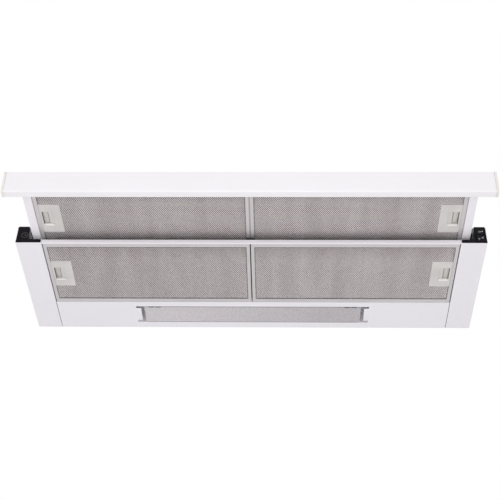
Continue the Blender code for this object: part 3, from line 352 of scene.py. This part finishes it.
SMOOTH_ANGLE = 35.0
EDGE_ANGLE = 40.0
WELD_DISTANCE = 0.000005
PAN_HEAD = ((1.0, 0.0), (1.0, 0.30), (0.93, 0.62), (0.78, 0.88), (0.62, 1.0))
DOME = ((1.0, 0.0), (0.96, 0.25), (0.80, 0.62), (0.50, 0.88), (0.18, 1.0))


def filter_body(row, side):
    """The body that a filter's fixed pieces move with: the front filters sit in the visor."""
    return f"rear_{side}_filter" if row == "rear" else "visor"


def new_object(name, bm, materials):
    """A new object from a bmesh, smooth where its faces meet gently."""
    mesh = bpy.data.meshes.new(name)
    bm.to_mesh(mesh)
    bm.free()
    mesh.shade_smooth()
    mesh.set_sharp_from_angle(angle=math.radians(SMOOTH_ANGLE))
    for material in materials:
        mesh.materials.append(material)
    obj = bpy.data.objects.new(name, mesh)
    bpy.context.scene.collection.objects.link(obj)
    return obj


def add_piece(name, bm, slot, body, material=None):
    """A piece of detail that takes its finish from a slot and moves with a body."""
    piece = new_object(name, bm, [material or FINISHES[slot]])
    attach(piece, body)
    return piece


def soften(node, width, segments=2):
    """Rounds the sharp edges of a CAD node with modifiers; its own mesh stays as it was."""
    obj = NODES[node]
    weld = obj.modifiers.new("weld", "WELD")
    weld.merge_threshold = WELD_DISTANCE
    bevel = obj.modifiers.new("edge", "BEVEL")
    bevel.width = width
    bevel.segments = segments
    bevel.limit_method = "ANGLE"
    bevel.angle_limit = math.radians(EDGE_ANGLE)
    shading = obj.modifiers.new("shading", "WEIGHTED_NORMAL")
    shading.keep_sharp = True


def add_box(bm, low, high, bevel=0.0, segments=2):
    """A box between two corners, with rounded edges."""
    made = bmesh.ops.create_cube(bm, size=1.0)["verts"]
    size = [b - a for a, b in zip(low, high)]
    middle = [(a + b) / 2 for a, b in zip(low, high)]
    bmesh.ops.scale(bm, vec=size, verts=made)
    bmesh.ops.translate(bm, vec=middle, verts=made)
    if bevel:
        edges = {edge for vert in made for edge in vert.link_edges}
        bmesh.ops.bevel(
            bm, geom=list(edges), offset=bevel, segments=segments, profile=0.5, affect="EDGES"
        )


def add_rings(bm, rings, close=True):
    """Bridges a stack of equal rings of points, and closes the two ends."""
    made = [[bm.verts.new(point) for point in ring] for ring in rings]
    count = len(made[0])
    for first, second in zip(made, made[1:]):
        for index in range(count):
            following = (index + 1) % count
            bm.faces.new((first[index], first[following], second[following], second[index]))
    if close:
        bm.faces.new(list(reversed(made[0])))
        bm.faces.new(made[-1])
    bmesh.ops.recalc_face_normals(bm, faces=bm.faces)


def basis(out):
    """Two directions square to out, and out itself."""
    out = Vector(out).normalized()
    across = out.orthogonal().normalized()
    return across, out.cross(across), out


def circle(centre, out, radius, height, count=24, star=0.0):
    """Points round an axis; star pulls every other pair in, for a cross recess."""
    across, along, out = basis(out)
    points = []
    for index in range(count):
        angle = 2 * math.pi * (index + 0.5) / count
        reach = radius
        if star and index % 4 in (1, 2):
            reach = radius * star
        spoke = across * reach * math.cos(angle) + along * reach * math.sin(angle)
        points.append(Vector(centre) + out * height + spoke)
    return points


def add_turned(bm, centre, out, profile, count=24):
    """A solid turned round an axis through centre, from (radius, height) points."""
    add_rings(bm, [circle(centre, out, radius, height, count) for radius, height in profile])


def add_screw(bm, centre, out, radius):
    """A pan-head screw with a cross recess."""
    height = radius * 0.62
    rings = [circle(centre, out, radius * share, height * rise, 16) for share, rise in PAN_HEAD]
    rings.append(circle(centre, out, radius * 0.50, height, 16, 0.36))
    rings.append(circle(centre, out, radius * 0.42, height * 0.45, 16, 0.36))
    add_rings(bm, rings)


def add_rivet(bm, centre, out, radius):
    add_turned(bm, centre, out, [(radius * share, radius * 0.5 * rise) for share, rise in DOME], 16)


# ---------------------------------------------------------------- filters

MESH_PITCH_X = 0.0037
MESH_PITCH_Y = 0.0062
STRAND = 0.30
STRAND_TILT = 0.00022
STRAND_THICKNESS = 0.0004
STRAND_DEPTH = STRAND * 0.92
MESH_STAND = 0.00105
MESH_INSET_X = 0.0028
MESH_INSET_FRONT = 0.0024
MESH_INSET_REAR = 0.0040
PLATE_LAP = 0.0016
CORNERS = ((0, 1), (-1, 0), (0, -1), (1, 0))
HOLE_CORNERS = tuple((a * (1 - STRAND), b * (1 - STRAND_DEPTH)) for a, b in CORNERS)
HOLE_SKEW = 0.35
# Where the painted shade on each mesh face begins: this far behind its frame's front.
FRONT_SHADE_START = 0.006


def mesh_field(row, side):
    """The stretch the expanded metal covers, and the plate it goes round: (low, high) corners of each."""
    name = f"{row}_{side}"
    low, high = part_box(name + "_filter_mesh")
    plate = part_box(name + "_latch_plate")
    return low, high, plate


def lattice(low, high, plate):
    """Half-pitch places of the diamonds' middles, with those inside the latch plate left out."""
    width = high[0] - low[0] - 2 * MESH_INSET_X
    depth = high[1] - low[1] - MESH_INSET_FRONT - MESH_INSET_REAR
    columns = round(width / MESH_PITCH_X)
    rows = round(depth / MESH_PITCH_Y)
    step_x = width / columns / 2
    step_y = depth / rows / 2
    start = (low[0] + MESH_INSET_X, low[1] + MESH_INSET_FRONT)
    kept = set()
    for i in range(1, 2 * columns):
        for j in range(1, 2 * rows):
            if (i + j) % 2:
                continue
            x = start[0] + i * step_x
            y = start[1] + j * step_y
            inside_x = plate[0][0] + PLATE_LAP < x < plate[1][0] - PLATE_LAP
            inside_y = plate[0][1] + PLATE_LAP < y < plate[1][1] - PLATE_LAP
            if not (inside_x and inside_y):
                kept.add((i, j))
    return kept, start, (step_x, step_y)


def expanded_sheet(low, high, plate, height):
    """Diamonds in staggered rows: each strand is a thin flat bar, tilted the way slitting leaves it."""
    kept, start, step = lattice(low, high, plate)
    bm = bmesh.new()
    shared = {}

    def knot(i, j, level):
        """The place where strands cross, shared by the diamonds round it."""
        key = (i, j, level)
        if key not in shared:
            z = height + level * STRAND_THICKNESS
            shared[key] = bm.verts.new((start[0] + i * step[0], start[1] + j * step[1], z))
        return shared[key]

    for i, j in sorted(kept):
        x = start[0] + i * step[0]
        y = start[1] + j * step[1]
        outer = [[knot(i + a, j + b, level) for a, b in CORNERS] for level in (0, 1)]
        inner = []
        for level in (0, 1):
            ring = []
            for a, b in HOLE_CORNERS:
                tilt = STRAND_TILT * (a + HOLE_SKEW * b)
                z = height + level * STRAND_THICKNESS + tilt
                ring.append(bm.verts.new((x + a * step[0], y + b * step[1], z)))
            inner.append(ring)
        for index in range(4):
            after = (index + 1) % 4
            bm.faces.new((outer[0][index], outer[0][after], inner[0][after], inner[0][index]))
            bm.faces.new((outer[1][after], outer[1][index], inner[1][index], inner[1][after]))
            bm.faces.new((inner[0][index], inner[0][after], inner[1][after], inner[1][index]))
            a, b = CORNERS[index]
            c, d = CORNERS[after]
            if (i + a + c, j + b + d) not in kept:
                bm.faces.new((outer[0][after], outer[0][index], outer[1][index], outer[1][after]))
    return bm


def make_mesh_faces():
    for row in ROWS:
        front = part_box(row + "_left_filter_frame")[0][1] + FRONT_SHADE_START
        face = expanded_metal(row + "_mesh", (0.74, 0.69, 0.70), 0.40, 0.55, front)
        for _, side in SIDES:
            low, high, plate = mesh_field(row, side)
            sheet = expanded_sheet(low, high, plate, low[2] - MESH_STAND)
            body = filter_body(row, side)
            add_piece(f"{row}_{side}_mesh_face", sheet, "mesh_aluminium", body, face)


PLATE_EDGE = 0.0003
PLATE_LIFT = 0.0003
POCKET_HALF = 0.019
POCKET_TOP = 0.0046
STRIP_BEVEL = 0.0002
# Each strip: near and far from the filter's edge, front, back, bottom and top in the pocket.
OUTER_WALL = (0.0041, 0.0049, -POCKET_HALF + 0.0002, POCKET_HALF - 0.0025, 0.0006, POCKET_TOP)
FRONT_WALL = (0.0041, 0.0154, -POCKET_HALF + 0.0001, -POCKET_HALF + 0.0030, 0.0036, POCKET_TOP)
INNER_STEP = (0.0143, 0.0154, -POCKET_HALF + 0.0026, POCKET_HALF - 0.0025, 0.0036, POCKET_TOP)
POCKET_FLOOR = (0.0046, 0.0146, -POCKET_HALF + 0.0027, POCKET_HALF - 0.0022, 0.0040, POCKET_TOP)
POCKET_LIP = (0.0041, 0.0235, POCKET_HALF - 0.0016, POCKET_HALF + 0.0016, -0.00055, 0.0040)
LIP_BEVEL = 0.0006


def make_latch_details():
    """Painted shade as dark strips on the finger pocket's walls, its floor, and its rolled rear lip,
    lighter than the plate as a painted highlight.
    """
    # The dark strips are painted shade. The lip's light colour is a painted highlight on its rounded
    # edge.
    wall_shade = moulded("pocket_wall_shade", (0.13, 0.125, 0.12), 0.6)
    floor = moulded("pocket_floor", (0.52, 0.50, 0.475), 0.5)
    lip_highlight = moulded("pocket_lip_highlight", (0.74, 0.73, 0.70), 0.35)
    details = (
        ("pocket_wall_shade", (OUTER_WALL, FRONT_WALL, INNER_STEP), STRIP_BEVEL, wall_shade),
        ("pocket_floor", (POCKET_FLOOR,), STRIP_BEVEL, floor),
        ("pocket_lip_highlight", (POCKET_LIP,), LIP_BEVEL, lip_highlight),
    )
    for row in ROWS:
        for sign, side in SIDES:
            low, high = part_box(f"{row}_{side}_latch_plate")
            edge = max(abs(low[0]), abs(high[0])) + PLATE_EDGE
            middle = (low[1] + high[1]) / 2
            base = low[2] + PLATE_LIFT
            for name, strips, bevel, finish in details:
                bm = bmesh.new()
                for near, far, front, back, bottom, top in strips:
                    x_low, x_high = sorted((sign * (edge - near), sign * (edge - far)))
                    start = (x_low, middle + front, base + bottom)
                    add_box(bm, start, (x_high, middle + back, base + top), bevel)
                add_piece(f"{row}_{side}_{name}", bm, "latch_plastic", filter_body(row, side), finish)


# ---------------------------------------------------------------- latch springs

WIRE_RADIUS = 0.00025
COILS = 4
COIL_STEPS = 24
WIRE_SIDES = 8


def coil(low, high):
    """A wire wound round the X axis, its coils touching the box between two corners."""
    middle = [(a + b) / 2 for a, b in zip(low, high)]
    radius = (high[1] - low[1]) / 2 - WIRE_RADIUS
    start = low[0] + WIRE_RADIUS
    run = high[0] - low[0] - 2 * WIRE_RADIUS
    count = COILS * COIL_STEPS
    rings = []
    for step in range(count + 1):
        turn = math.tau * step / COIL_STEPS
        outward = Vector((0.0, math.cos(turn), math.sin(turn)))
        centre = Vector((start + run * step / count, middle[1], middle[2])) + outward * radius
        ring = []
        for side in range(WIRE_SIDES):
            angle = math.tau * side / WIRE_SIDES
            across = outward * math.cos(angle) + Vector((1.0, 0.0, 0.0)) * math.sin(angle)
            ring.append(centre + across * WIRE_RADIUS)
        rings.append(ring)
    bm = bmesh.new()
    add_rings(bm, rings)
    return bm


def make_latch_springs():
    """Each return spring again as a coil with a mesh of its own, in place of the hidden CAD spring."""
    for row in ROWS:
        for sign, side in SIDES:
            name = f"{row}_{side}_latch"
            low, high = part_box(name + "_spring")
            spring = add_piece(name + "_coil", coil(low, high), "steel", filter_body(row, side))
            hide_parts(name + "_spring")
            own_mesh(spring)


# ---------------------------------------------------------------- switch caps

MARK_RISE = 0.00006


def surface_of(node):
    """A lookup of a CAD node's skin, for laying small marks on it."""
    mesh = NODES[node].data
    vertices = [vertex.co.copy() for vertex in mesh.vertices]
    polygons = [tuple(polygon.vertices) for polygon in mesh.polygons]
    return BVHTree.FromPolygons(vertices, polygons)


def front_of(tree, x, z):
    """How far forward the skin is at (x, z)."""
    place = tree.ray_cast(Vector((x, CAD_BOX[0][1] - 0.1, z)), Vector((0.0, 1.0, 0.0)))[0]
    return place.y


def add_mark(bm, tree, outline):
    """A thin printed patch laid on the skin, from an (x, z) outline."""
    front = [Vector((x, front_of(tree, x, z) - MARK_RISE, z)) for x, z in outline]
    back = [point + Vector((0.0, 2 * MARK_RISE, 0.0)) for point in front]
    add_rings(bm, [front, back])


def oval(x, z, half_width, half_height, count=20):
    turns = [2 * math.pi * step / count for step in range(count)]
    return [(x + half_width * math.cos(turn), z + half_height * math.sin(turn)) for turn in turns]


def add_ring_mark(bm, tree, x, z, half_width, half_height, line):
    """An oval line, as a closed band of small patches."""
    outer = oval(x, z, half_width, half_height)
    inner = oval(x, z, half_width - line, half_height - line)
    for index in range(len(outer)):
        after = (index + 1) % len(outer)
        add_mark(bm, tree, [outer[index], outer[after], inner[after], inner[index]])


def add_fan_mark(bm, tree, x, z, size):
    """Three swept blades round a small hub."""
    add_mark(bm, tree, oval(x, z, size * 0.22, size * 0.22, 10))
    for index in range(3):
        start = 2 * math.pi * index / 3 + 0.3
        near = (x + 0.30 * size * math.cos(start), z + 0.30 * size * math.sin(start))
        far = (x + size * math.cos(start + 0.2), z + size * math.sin(start + 0.2))
        side = (x + 0.85 * size * math.cos(start + 0.95), z + 0.85 * size * math.sin(start + 0.95))
        add_mark(bm, tree, [near, far, side])


def make_switch_marks():
    ink = print_and_sheen_finish("switch_ink", (0.55, 0.55, 0.58))
    white = print_and_sheen_finish("white_ink", (0.85, 0.85, 0.87))
    low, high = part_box("light_switch")
    x, z = (low[0] + high[0]) / 2, (low[2] + high[2]) / 2
    tree = surface_of("light_switch")
    bm = bmesh.new()
    add_ring_mark(bm, tree, x - 0.0006, z, 0.0021, 0.0017, 0.0005)
    add_piece("light_mark", bm, "black_gloss", "light_switch", ink)
    bm = bmesh.new()
    add_mark(bm, tree, oval(x + 0.0038, z, 0.0008, 0.0009, 14))
    add_piece("light_dot", bm, "black_gloss", "light_switch", white)
    low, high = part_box("fan_switch")
    x, z = (low[0] + high[0]) / 2, (low[2] + high[2]) / 2
    tree = surface_of("fan_switch")
    bm = bmesh.new()
    add_fan_mark(bm, tree, x - 0.0031, z - 0.0012, 0.0021)
    add_fan_mark(bm, tree, x + 0.0034, z + 0.0012, 0.0025)
    add_piece("fan_marks", bm, "black_gloss", "fan_switch", ink)


def make_blank_cap_ring():
    """The switch position left blank on the other cap: a faint moulded ring, a shade lighter than the cap
    as painted sheen, with a small centre pip.
    """
    low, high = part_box("front_cap_left")
    x = low[0] + (high[0] - low[0]) * 0.34
    z = low[2] + (high[2] - low[2]) * 0.44
    tree = surface_of("front_cap_left")
    front = front_of(tree, x, z)
    out = (0.0, -1.0, 0.0)
    bm = bmesh.new()
    outer, inner, rise = 0.0066, 0.0056, 0.0002
    profile = ((inner, -rise), (inner, rise), (inner + 0.0003, rise * 1.6), (outer - 0.0003, rise * 1.6))
    profile += ((outer, rise), (outer, -rise))
    rings = [circle((x, front, z), out, radius, height, 32) for radius, height in profile]
    add_rings(bm, rings + [rings[0]], close=False)
    bmesh.ops.remove_doubles(bm, verts=bm.verts, dist=1e-6)
    # The ring's grey, lighter than the black cap, is painted sheen on the raised ring.
    ring_sheen = print_and_sheen_finish("ring_painted_sheen", (0.045, 0.044, 0.05))
    add_piece("blank_cap_ring", bm, "black_plastic", "canopy", ring_sheen)
    bm = bmesh.new()
    pip = ((0.0011, -0.0001), (0.0011, 0.0002), (0.0007, 0.0004))
    add_turned(bm, (x + 0.001, front, z), out, pip, 16)
    pip_finish = print_and_sheen_finish("pip_ink", (0.16, 0.16, 0.18))
    add_piece("blank_cap_pip", bm, "black_plastic", "canopy", pip_finish)


# ---------------------------------------------------------------- lamp lens

LENS_PITCH = 0.0018
LENS_PEBBLE = 0.00014
LENS_EDGE_RISE = 0.00035
LENS_WALL = 0.0015


def make_lens():
    """The lens with a pebbled face, turned-up walls and closed ends."""
    low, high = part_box("lamp_lens")
    columns = round((high[0] - low[0]) / LENS_PITCH)
    rows = round((high[1] - low[1]) / LENS_PITCH)
    bm = bmesh.new()
    grid = []
    for j in range(rows + 1):
        line = []
        for i in range(columns + 1):
            edge = i in (0, columns) or j in (0, rows)
            rise = LENS_EDGE_RISE if edge else LENS_PEBBLE * ((i + j) % 2)
            x = low[0] + (high[0] - low[0]) * i / columns
            y = low[1] + (high[1] - low[1]) * j / rows
            line.append(bm.verts.new((x, y, low[2] + rise)))
        grid.append(line)
    for j in range(rows):
        for i in range(columns):
            bm.faces.new((grid[j][i], grid[j + 1][i], grid[j + 1][i + 1], grid[j][i + 1]))
    border = [grid[0][i] for i in range(columns)] + [grid[j][columns] for j in range(rows)]
    border += [grid[rows][i] for i in range(columns, 0, -1)] + [grid[j][0] for j in range(rows, 0, -1)]
    inner_low = (low[0] + LENS_WALL, low[1] + LENS_WALL)
    inner_high = (high[0] - LENS_WALL, high[1] - LENS_WALL)
    rim = [bm.verts.new((vert.co.x, vert.co.y, high[2])) for vert in border]

    def pulled(vert, z):
        x = min(max(vert.co.x, inner_low[0]), inner_high[0])
        y = min(max(vert.co.y, inner_low[1]), inner_high[1])
        return bm.verts.new((x, y, z))

    inside = [pulled(vert, high[2]) for vert in border]
    floor = [pulled(vert, low[2] + LENS_WALL) for vert in border]
    count = len(border)
    for first, second in ((border, rim), (rim, inside), (inside, floor)):
        for index in range(count):
            after = (index + 1) % count
            bm.faces.new((first[index], first[after], second[after], second[index]))
    bm.faces.new(list(reversed(floor)))
    bmesh.ops.remove_doubles(bm, verts=bm.verts, dist=1e-7)
    bmesh.ops.recalc_face_normals(bm, faces=bm.faces)
    lens = add_piece("lens_pebbled", bm, "lens_plastic", "lens")
    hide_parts("lamp_lens")
    make_lens_slots(low, high)


def make_lens_slots(low, high):
    """Painted shadow in short catch slots along the lens's front edge, near each end, and painted shadow
    lines along both long edges.
    """
    dark = moulded("slot_shadow", (0.05, 0.05, 0.055), 0.6)
    bm = bmesh.new()
    for sign in (-1, 1):
        for index in range(2):
            middle = sign * (high[0] - 0.014 - index * 0.014)
            start = (middle - 0.0056, low[1] + 0.0001, low[2] - 0.00005)
            end = (middle + 0.0056, low[1] + 0.0027, low[2] + 0.0006)
            add_box(bm, start, end, 0.0002, 1)
    add_piece("lens_catch_slots", bm, "lens_plastic", "lens", dark)
    bm = bmesh.new()
    for y in (low[1] + 0.0007, high[1] - 0.0007):
        start = (low[0] + 0.002, y - 0.0005, low[2])
        add_box(bm, start, (high[0] - 0.002, y + 0.0005, low[2] + 0.0005))
    shadow = moulded("edge_shadow", (0.22, 0.21, 0.23), 0.6)
    add_piece("lens_edge_lines", bm, "lens_plastic", "lens", shadow)


# ---------------------------------------------------------------- canopy details

TONGUE_TIP_GAP = 0.0069
TONGUE_REACH = 0.0098
TONGUE_MARGIN = 0.0066
SEAM_CLEARANCE = 0.0003
FLANGE = 0.008
SHEET = 0.0009
LAP = 0.014
RIB_MARGIN = 0.022
RIVET_RADIUS = 0.0022
UP = (0, 0, 1)

def make_front_folds():
    """The rolled front edge of each side box, which catches the light just below the black cap."""
    for sign, side in SIDES:
        low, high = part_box("side_panel_" + side)
        bm = bmesh.new()
        add_box(
            bm,
            (low[0] + 0.0002, low[1] - 0.0002, low[2] - 0.00025),
            (high[0] - 0.0002, low[1] + 0.0016, low[2] + 0.0009),
            0.0005,
            3,
        )
        add_piece("front_fold_" + side, bm, "white_enamel", "canopy")


def make_tongue_pads():
    """The pressed faces of the two tongues that stand into the ends of the lamp aperture."""
    panel_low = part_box("rear_panel")[0]
    lens_low, lens_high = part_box("lamp_lens")
    tip = lens_high[0] + TONGUE_TIP_GAP
    for sign, side in SIDES:
        near, far = sorted((sign * (tip + 0.0004), sign * (tip + TONGUE_REACH)))
        bm = bmesh.new()
        low = (near, lens_low[1] + TONGUE_MARGIN, panel_low[2] - 0.0003)
        high = (far, lens_high[1] - TONGUE_MARGIN, panel_low[2] + 0.0004)
        add_box(bm, low, high, 0.00025)
        add_piece("tongue_pad_" + side, bm, "white_enamel", "canopy")


def make_visor_seam():
    """The bright strip that shows between the two front filters."""
    low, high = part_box("front_right_filter_frame")
    bar_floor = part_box("visor_centre_bar")[0][2]
    bm = bmesh.new()
    half = low[0] - SEAM_CLEARANCE
    start = (-half, low[1] + 0.001, low[2] + 0.0006)
    add_box(bm, start, (half, high[1] - 0.001, bar_floor + 0.001), 0.0002)
    strip = rolled_strip("seam_strip", (0.44, 0.42, 0.43), 0.45, 0.3)
    add_piece("visor_seam_strip", bm, "galvanised_sheet", "visor", strip)


def make_box_details():
    """Lap seams, pressed ribs, spot rivets and screws on the upper box."""
    low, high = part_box("motor_housing")
    left, right = low[0] + FLANGE, high[0] - FLANGE
    front = low[1] + FLANGE
    back = high[1]
    bottom, top = low[2] + 0.001, high[2]
    seam_low, seam_high = bottom + 0.001, top - 0.001
    rib_low, rib_high = bottom + RIB_MARGIN, top - RIB_MARGIN
    bm = bmesh.new()
    for sign, x in ((-1, left), (1, right)):
        near, far = sorted((x, x + sign * SHEET))
        add_box(bm, (near, front - SHEET, seam_low), (far, front + LAP, seam_high), 0.0003)
        add_box(bm, (near, back - 0.016, seam_low), (far, back - 0.0005, seam_high), 0.0003)
        x_low, x_high = sorted((x, x - sign * LAP))
        add_box(bm, (x_low, front - SHEET, seam_low), (x_high, front, seam_high), 0.0003)
    add_piece("box_lap_seams", bm, "galvanised_sheet", "canopy")
    bm = bmesh.new()
    for x in (-0.19, -0.065, 0.065, 0.19):
        start = (x - 0.004, front - 0.0012, rib_low)
        add_box(bm, start, (x + 0.004, front + 0.0004, rib_high), 0.0011, 3)
    for sign, x in ((-1, left), (1, right)):
        near, far = sorted((x + sign * 0.0012, x - sign * 0.0004))
        for y in (-0.19, -0.08):
            add_box(bm, (near, y - 0.004, rib_low), (far, y + 0.004, rib_high), 0.0008, 2)
    for sign in (-1, 1):
        x = sign * 0.150
        start = (x - 0.005, front + 0.035, top - 0.0004)
        add_box(bm, start, (x + 0.005, back - 0.035, top + 0.0012), 0.0008, 2)
    add_piece("box_pressed_ribs", bm, "galvanised_sheet", "canopy")
    bm = bmesh.new()
    for sign, x in ((-1, left - SHEET), (1, right + SHEET)):
        for z in (0.020, 0.052, 0.085, 0.118):
            add_rivet(bm, (x, front + 0.0065, z), (sign, 0, 0), RIVET_RADIUS)
            add_rivet(bm, (x, back - 0.0085, z), (sign, 0, 0), RIVET_RADIUS)
            add_rivet(bm, (x - sign * 0.0075, front - SHEET, z), (0, -1, 0), RIVET_RADIUS)
    add_piece("box_rivets", bm, "steel", "canopy")
    bm = bmesh.new()
    for x in (-0.24, -0.12, 0.0, 0.12, 0.24):
        add_screw(bm, (x, low[1] + FLANGE / 2, bottom), UP, 0.0030)
    for sign in (-1, 1):
        for y in (-0.22, -0.13, -0.04):
            add_screw(bm, (sign * (high[0] - FLANGE / 2), y, bottom), UP, 0.0030)
    add_piece("box_flange_screws", bm, "steel", "canopy")


def make_collar_details():
    """Two rolled beads round the spigot, and the flange's fixing screws."""
    low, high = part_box("outlet_collar")
    centre = ((low[0] + high[0]) / 2, (low[1] + high[1]) / 2, 0.0)
    flange_radius = (high[0] - low[0]) / 2
    wall = 0.0747
    bm = bmesh.new()
    for level in (low[2] + 0.026, high[2] - 0.0015):
        profile = [(wall - 0.0003, -0.0015), (wall + 0.0009, -0.0008), (wall + 0.0012, 0.0)]
        profile += [(wall + 0.0009, 0.0008), (wall - 0.0003, 0.0015)]
        rings = [circle(centre, UP, radius, level + rise, 64) for radius, rise in profile]
        add_rings(bm, rings + [rings[0]], close=False)
    bmesh.ops.remove_doubles(bm, verts=bm.verts, dist=1e-7)
    add_piece("collar_beads", bm, "black_plastic", "canopy")
    bm = bmesh.new()
    for index in range(4):
        angle = math.radians(45 + 90 * index)
        reach = (wall + flange_radius) / 2 + 0.0004
        x = centre[0] + reach * math.cos(angle)
        y = centre[1] + reach * math.sin(angle)
        add_screw(bm, (x, y, low[2] + 0.0012), UP, 0.0028)
    add_piece("collar_screws", bm, "steel", "canopy")


def make_gland_nut():
    """The gland's six-sided lock nut."""
    low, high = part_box("cable_gland")
    centre = ((low[0] + high[0]) / 2, (low[1] + high[1]) / 2, 0.0)
    base = high[2] - 0.008
    reach = (high[0] - low[0]) / 2
    bm = bmesh.new()
    nut = [(reach * 1.10, base + 0.0002), (reach * 1.16, base + 0.0008)]
    nut += [(reach * 1.16, base + 0.0026), (reach * 1.08, base + 0.0032)]
    add_turned(bm, centre, UP, nut, 6)
    add_piece("gland_nut", bm, "black_plastic", "canopy")


def soften_nodes():
    """Rounded edges on the CAD nodes that stay in view."""
    for _, side in SIDES:
        soften("side_panel_" + side, 0.0003)
        soften("front_cap_" + side, 0.0003)
        soften("facia_cap_" + side, 0.0006, 3)
        for row in ROWS:
            soften(f"{row}_{side}_latch_plate", 0.0005, 3)
            soften(f"{row}_{side}_latch_slider", 0.0003)
            soften(f"{row}_{side}_filter_frame", 0.0004)
    for node in ("front_crossbar", "rear_panel", "visor_tray", "canopy_shell"):
        soften(node, 0.00025)
    for node in ("light_switch", "fan_switch"):
        soften(node, 0.0004, 3)
    soften("motor_housing", 0.0004)


def dress_nodes():
    """Gives each CAD node its slot's finish, and the bar over the rear seam a dark one of its own,
    painted shade for the dark seam.
    """
    for part in frame["record"]["subparts"]:
        mesh = NODES[part["node"]].data
        mesh.materials.clear()
        mesh.materials.append(FINISHES[part["material_slot"]])
    # The galvanised bar is painted near black: painted shade in the gap between the rear filters.
    NODES["centre_bar"].data.materials[0] = moulded("bar_seam_shade", (0.03, 0.03, 0.034), 0.5, 0.3)


make_camera()
make_stage()
FINISHES = make_materials()
dress_nodes()
soften_nodes()
make_mesh_faces()
make_latch_details()
make_latch_springs()
make_switch_marks()
make_blank_cap_ring()
make_lens()
make_front_folds()
make_tongue_pads()
make_visor_seam()
make_box_details()
make_collar_details()
make_gland_nut()
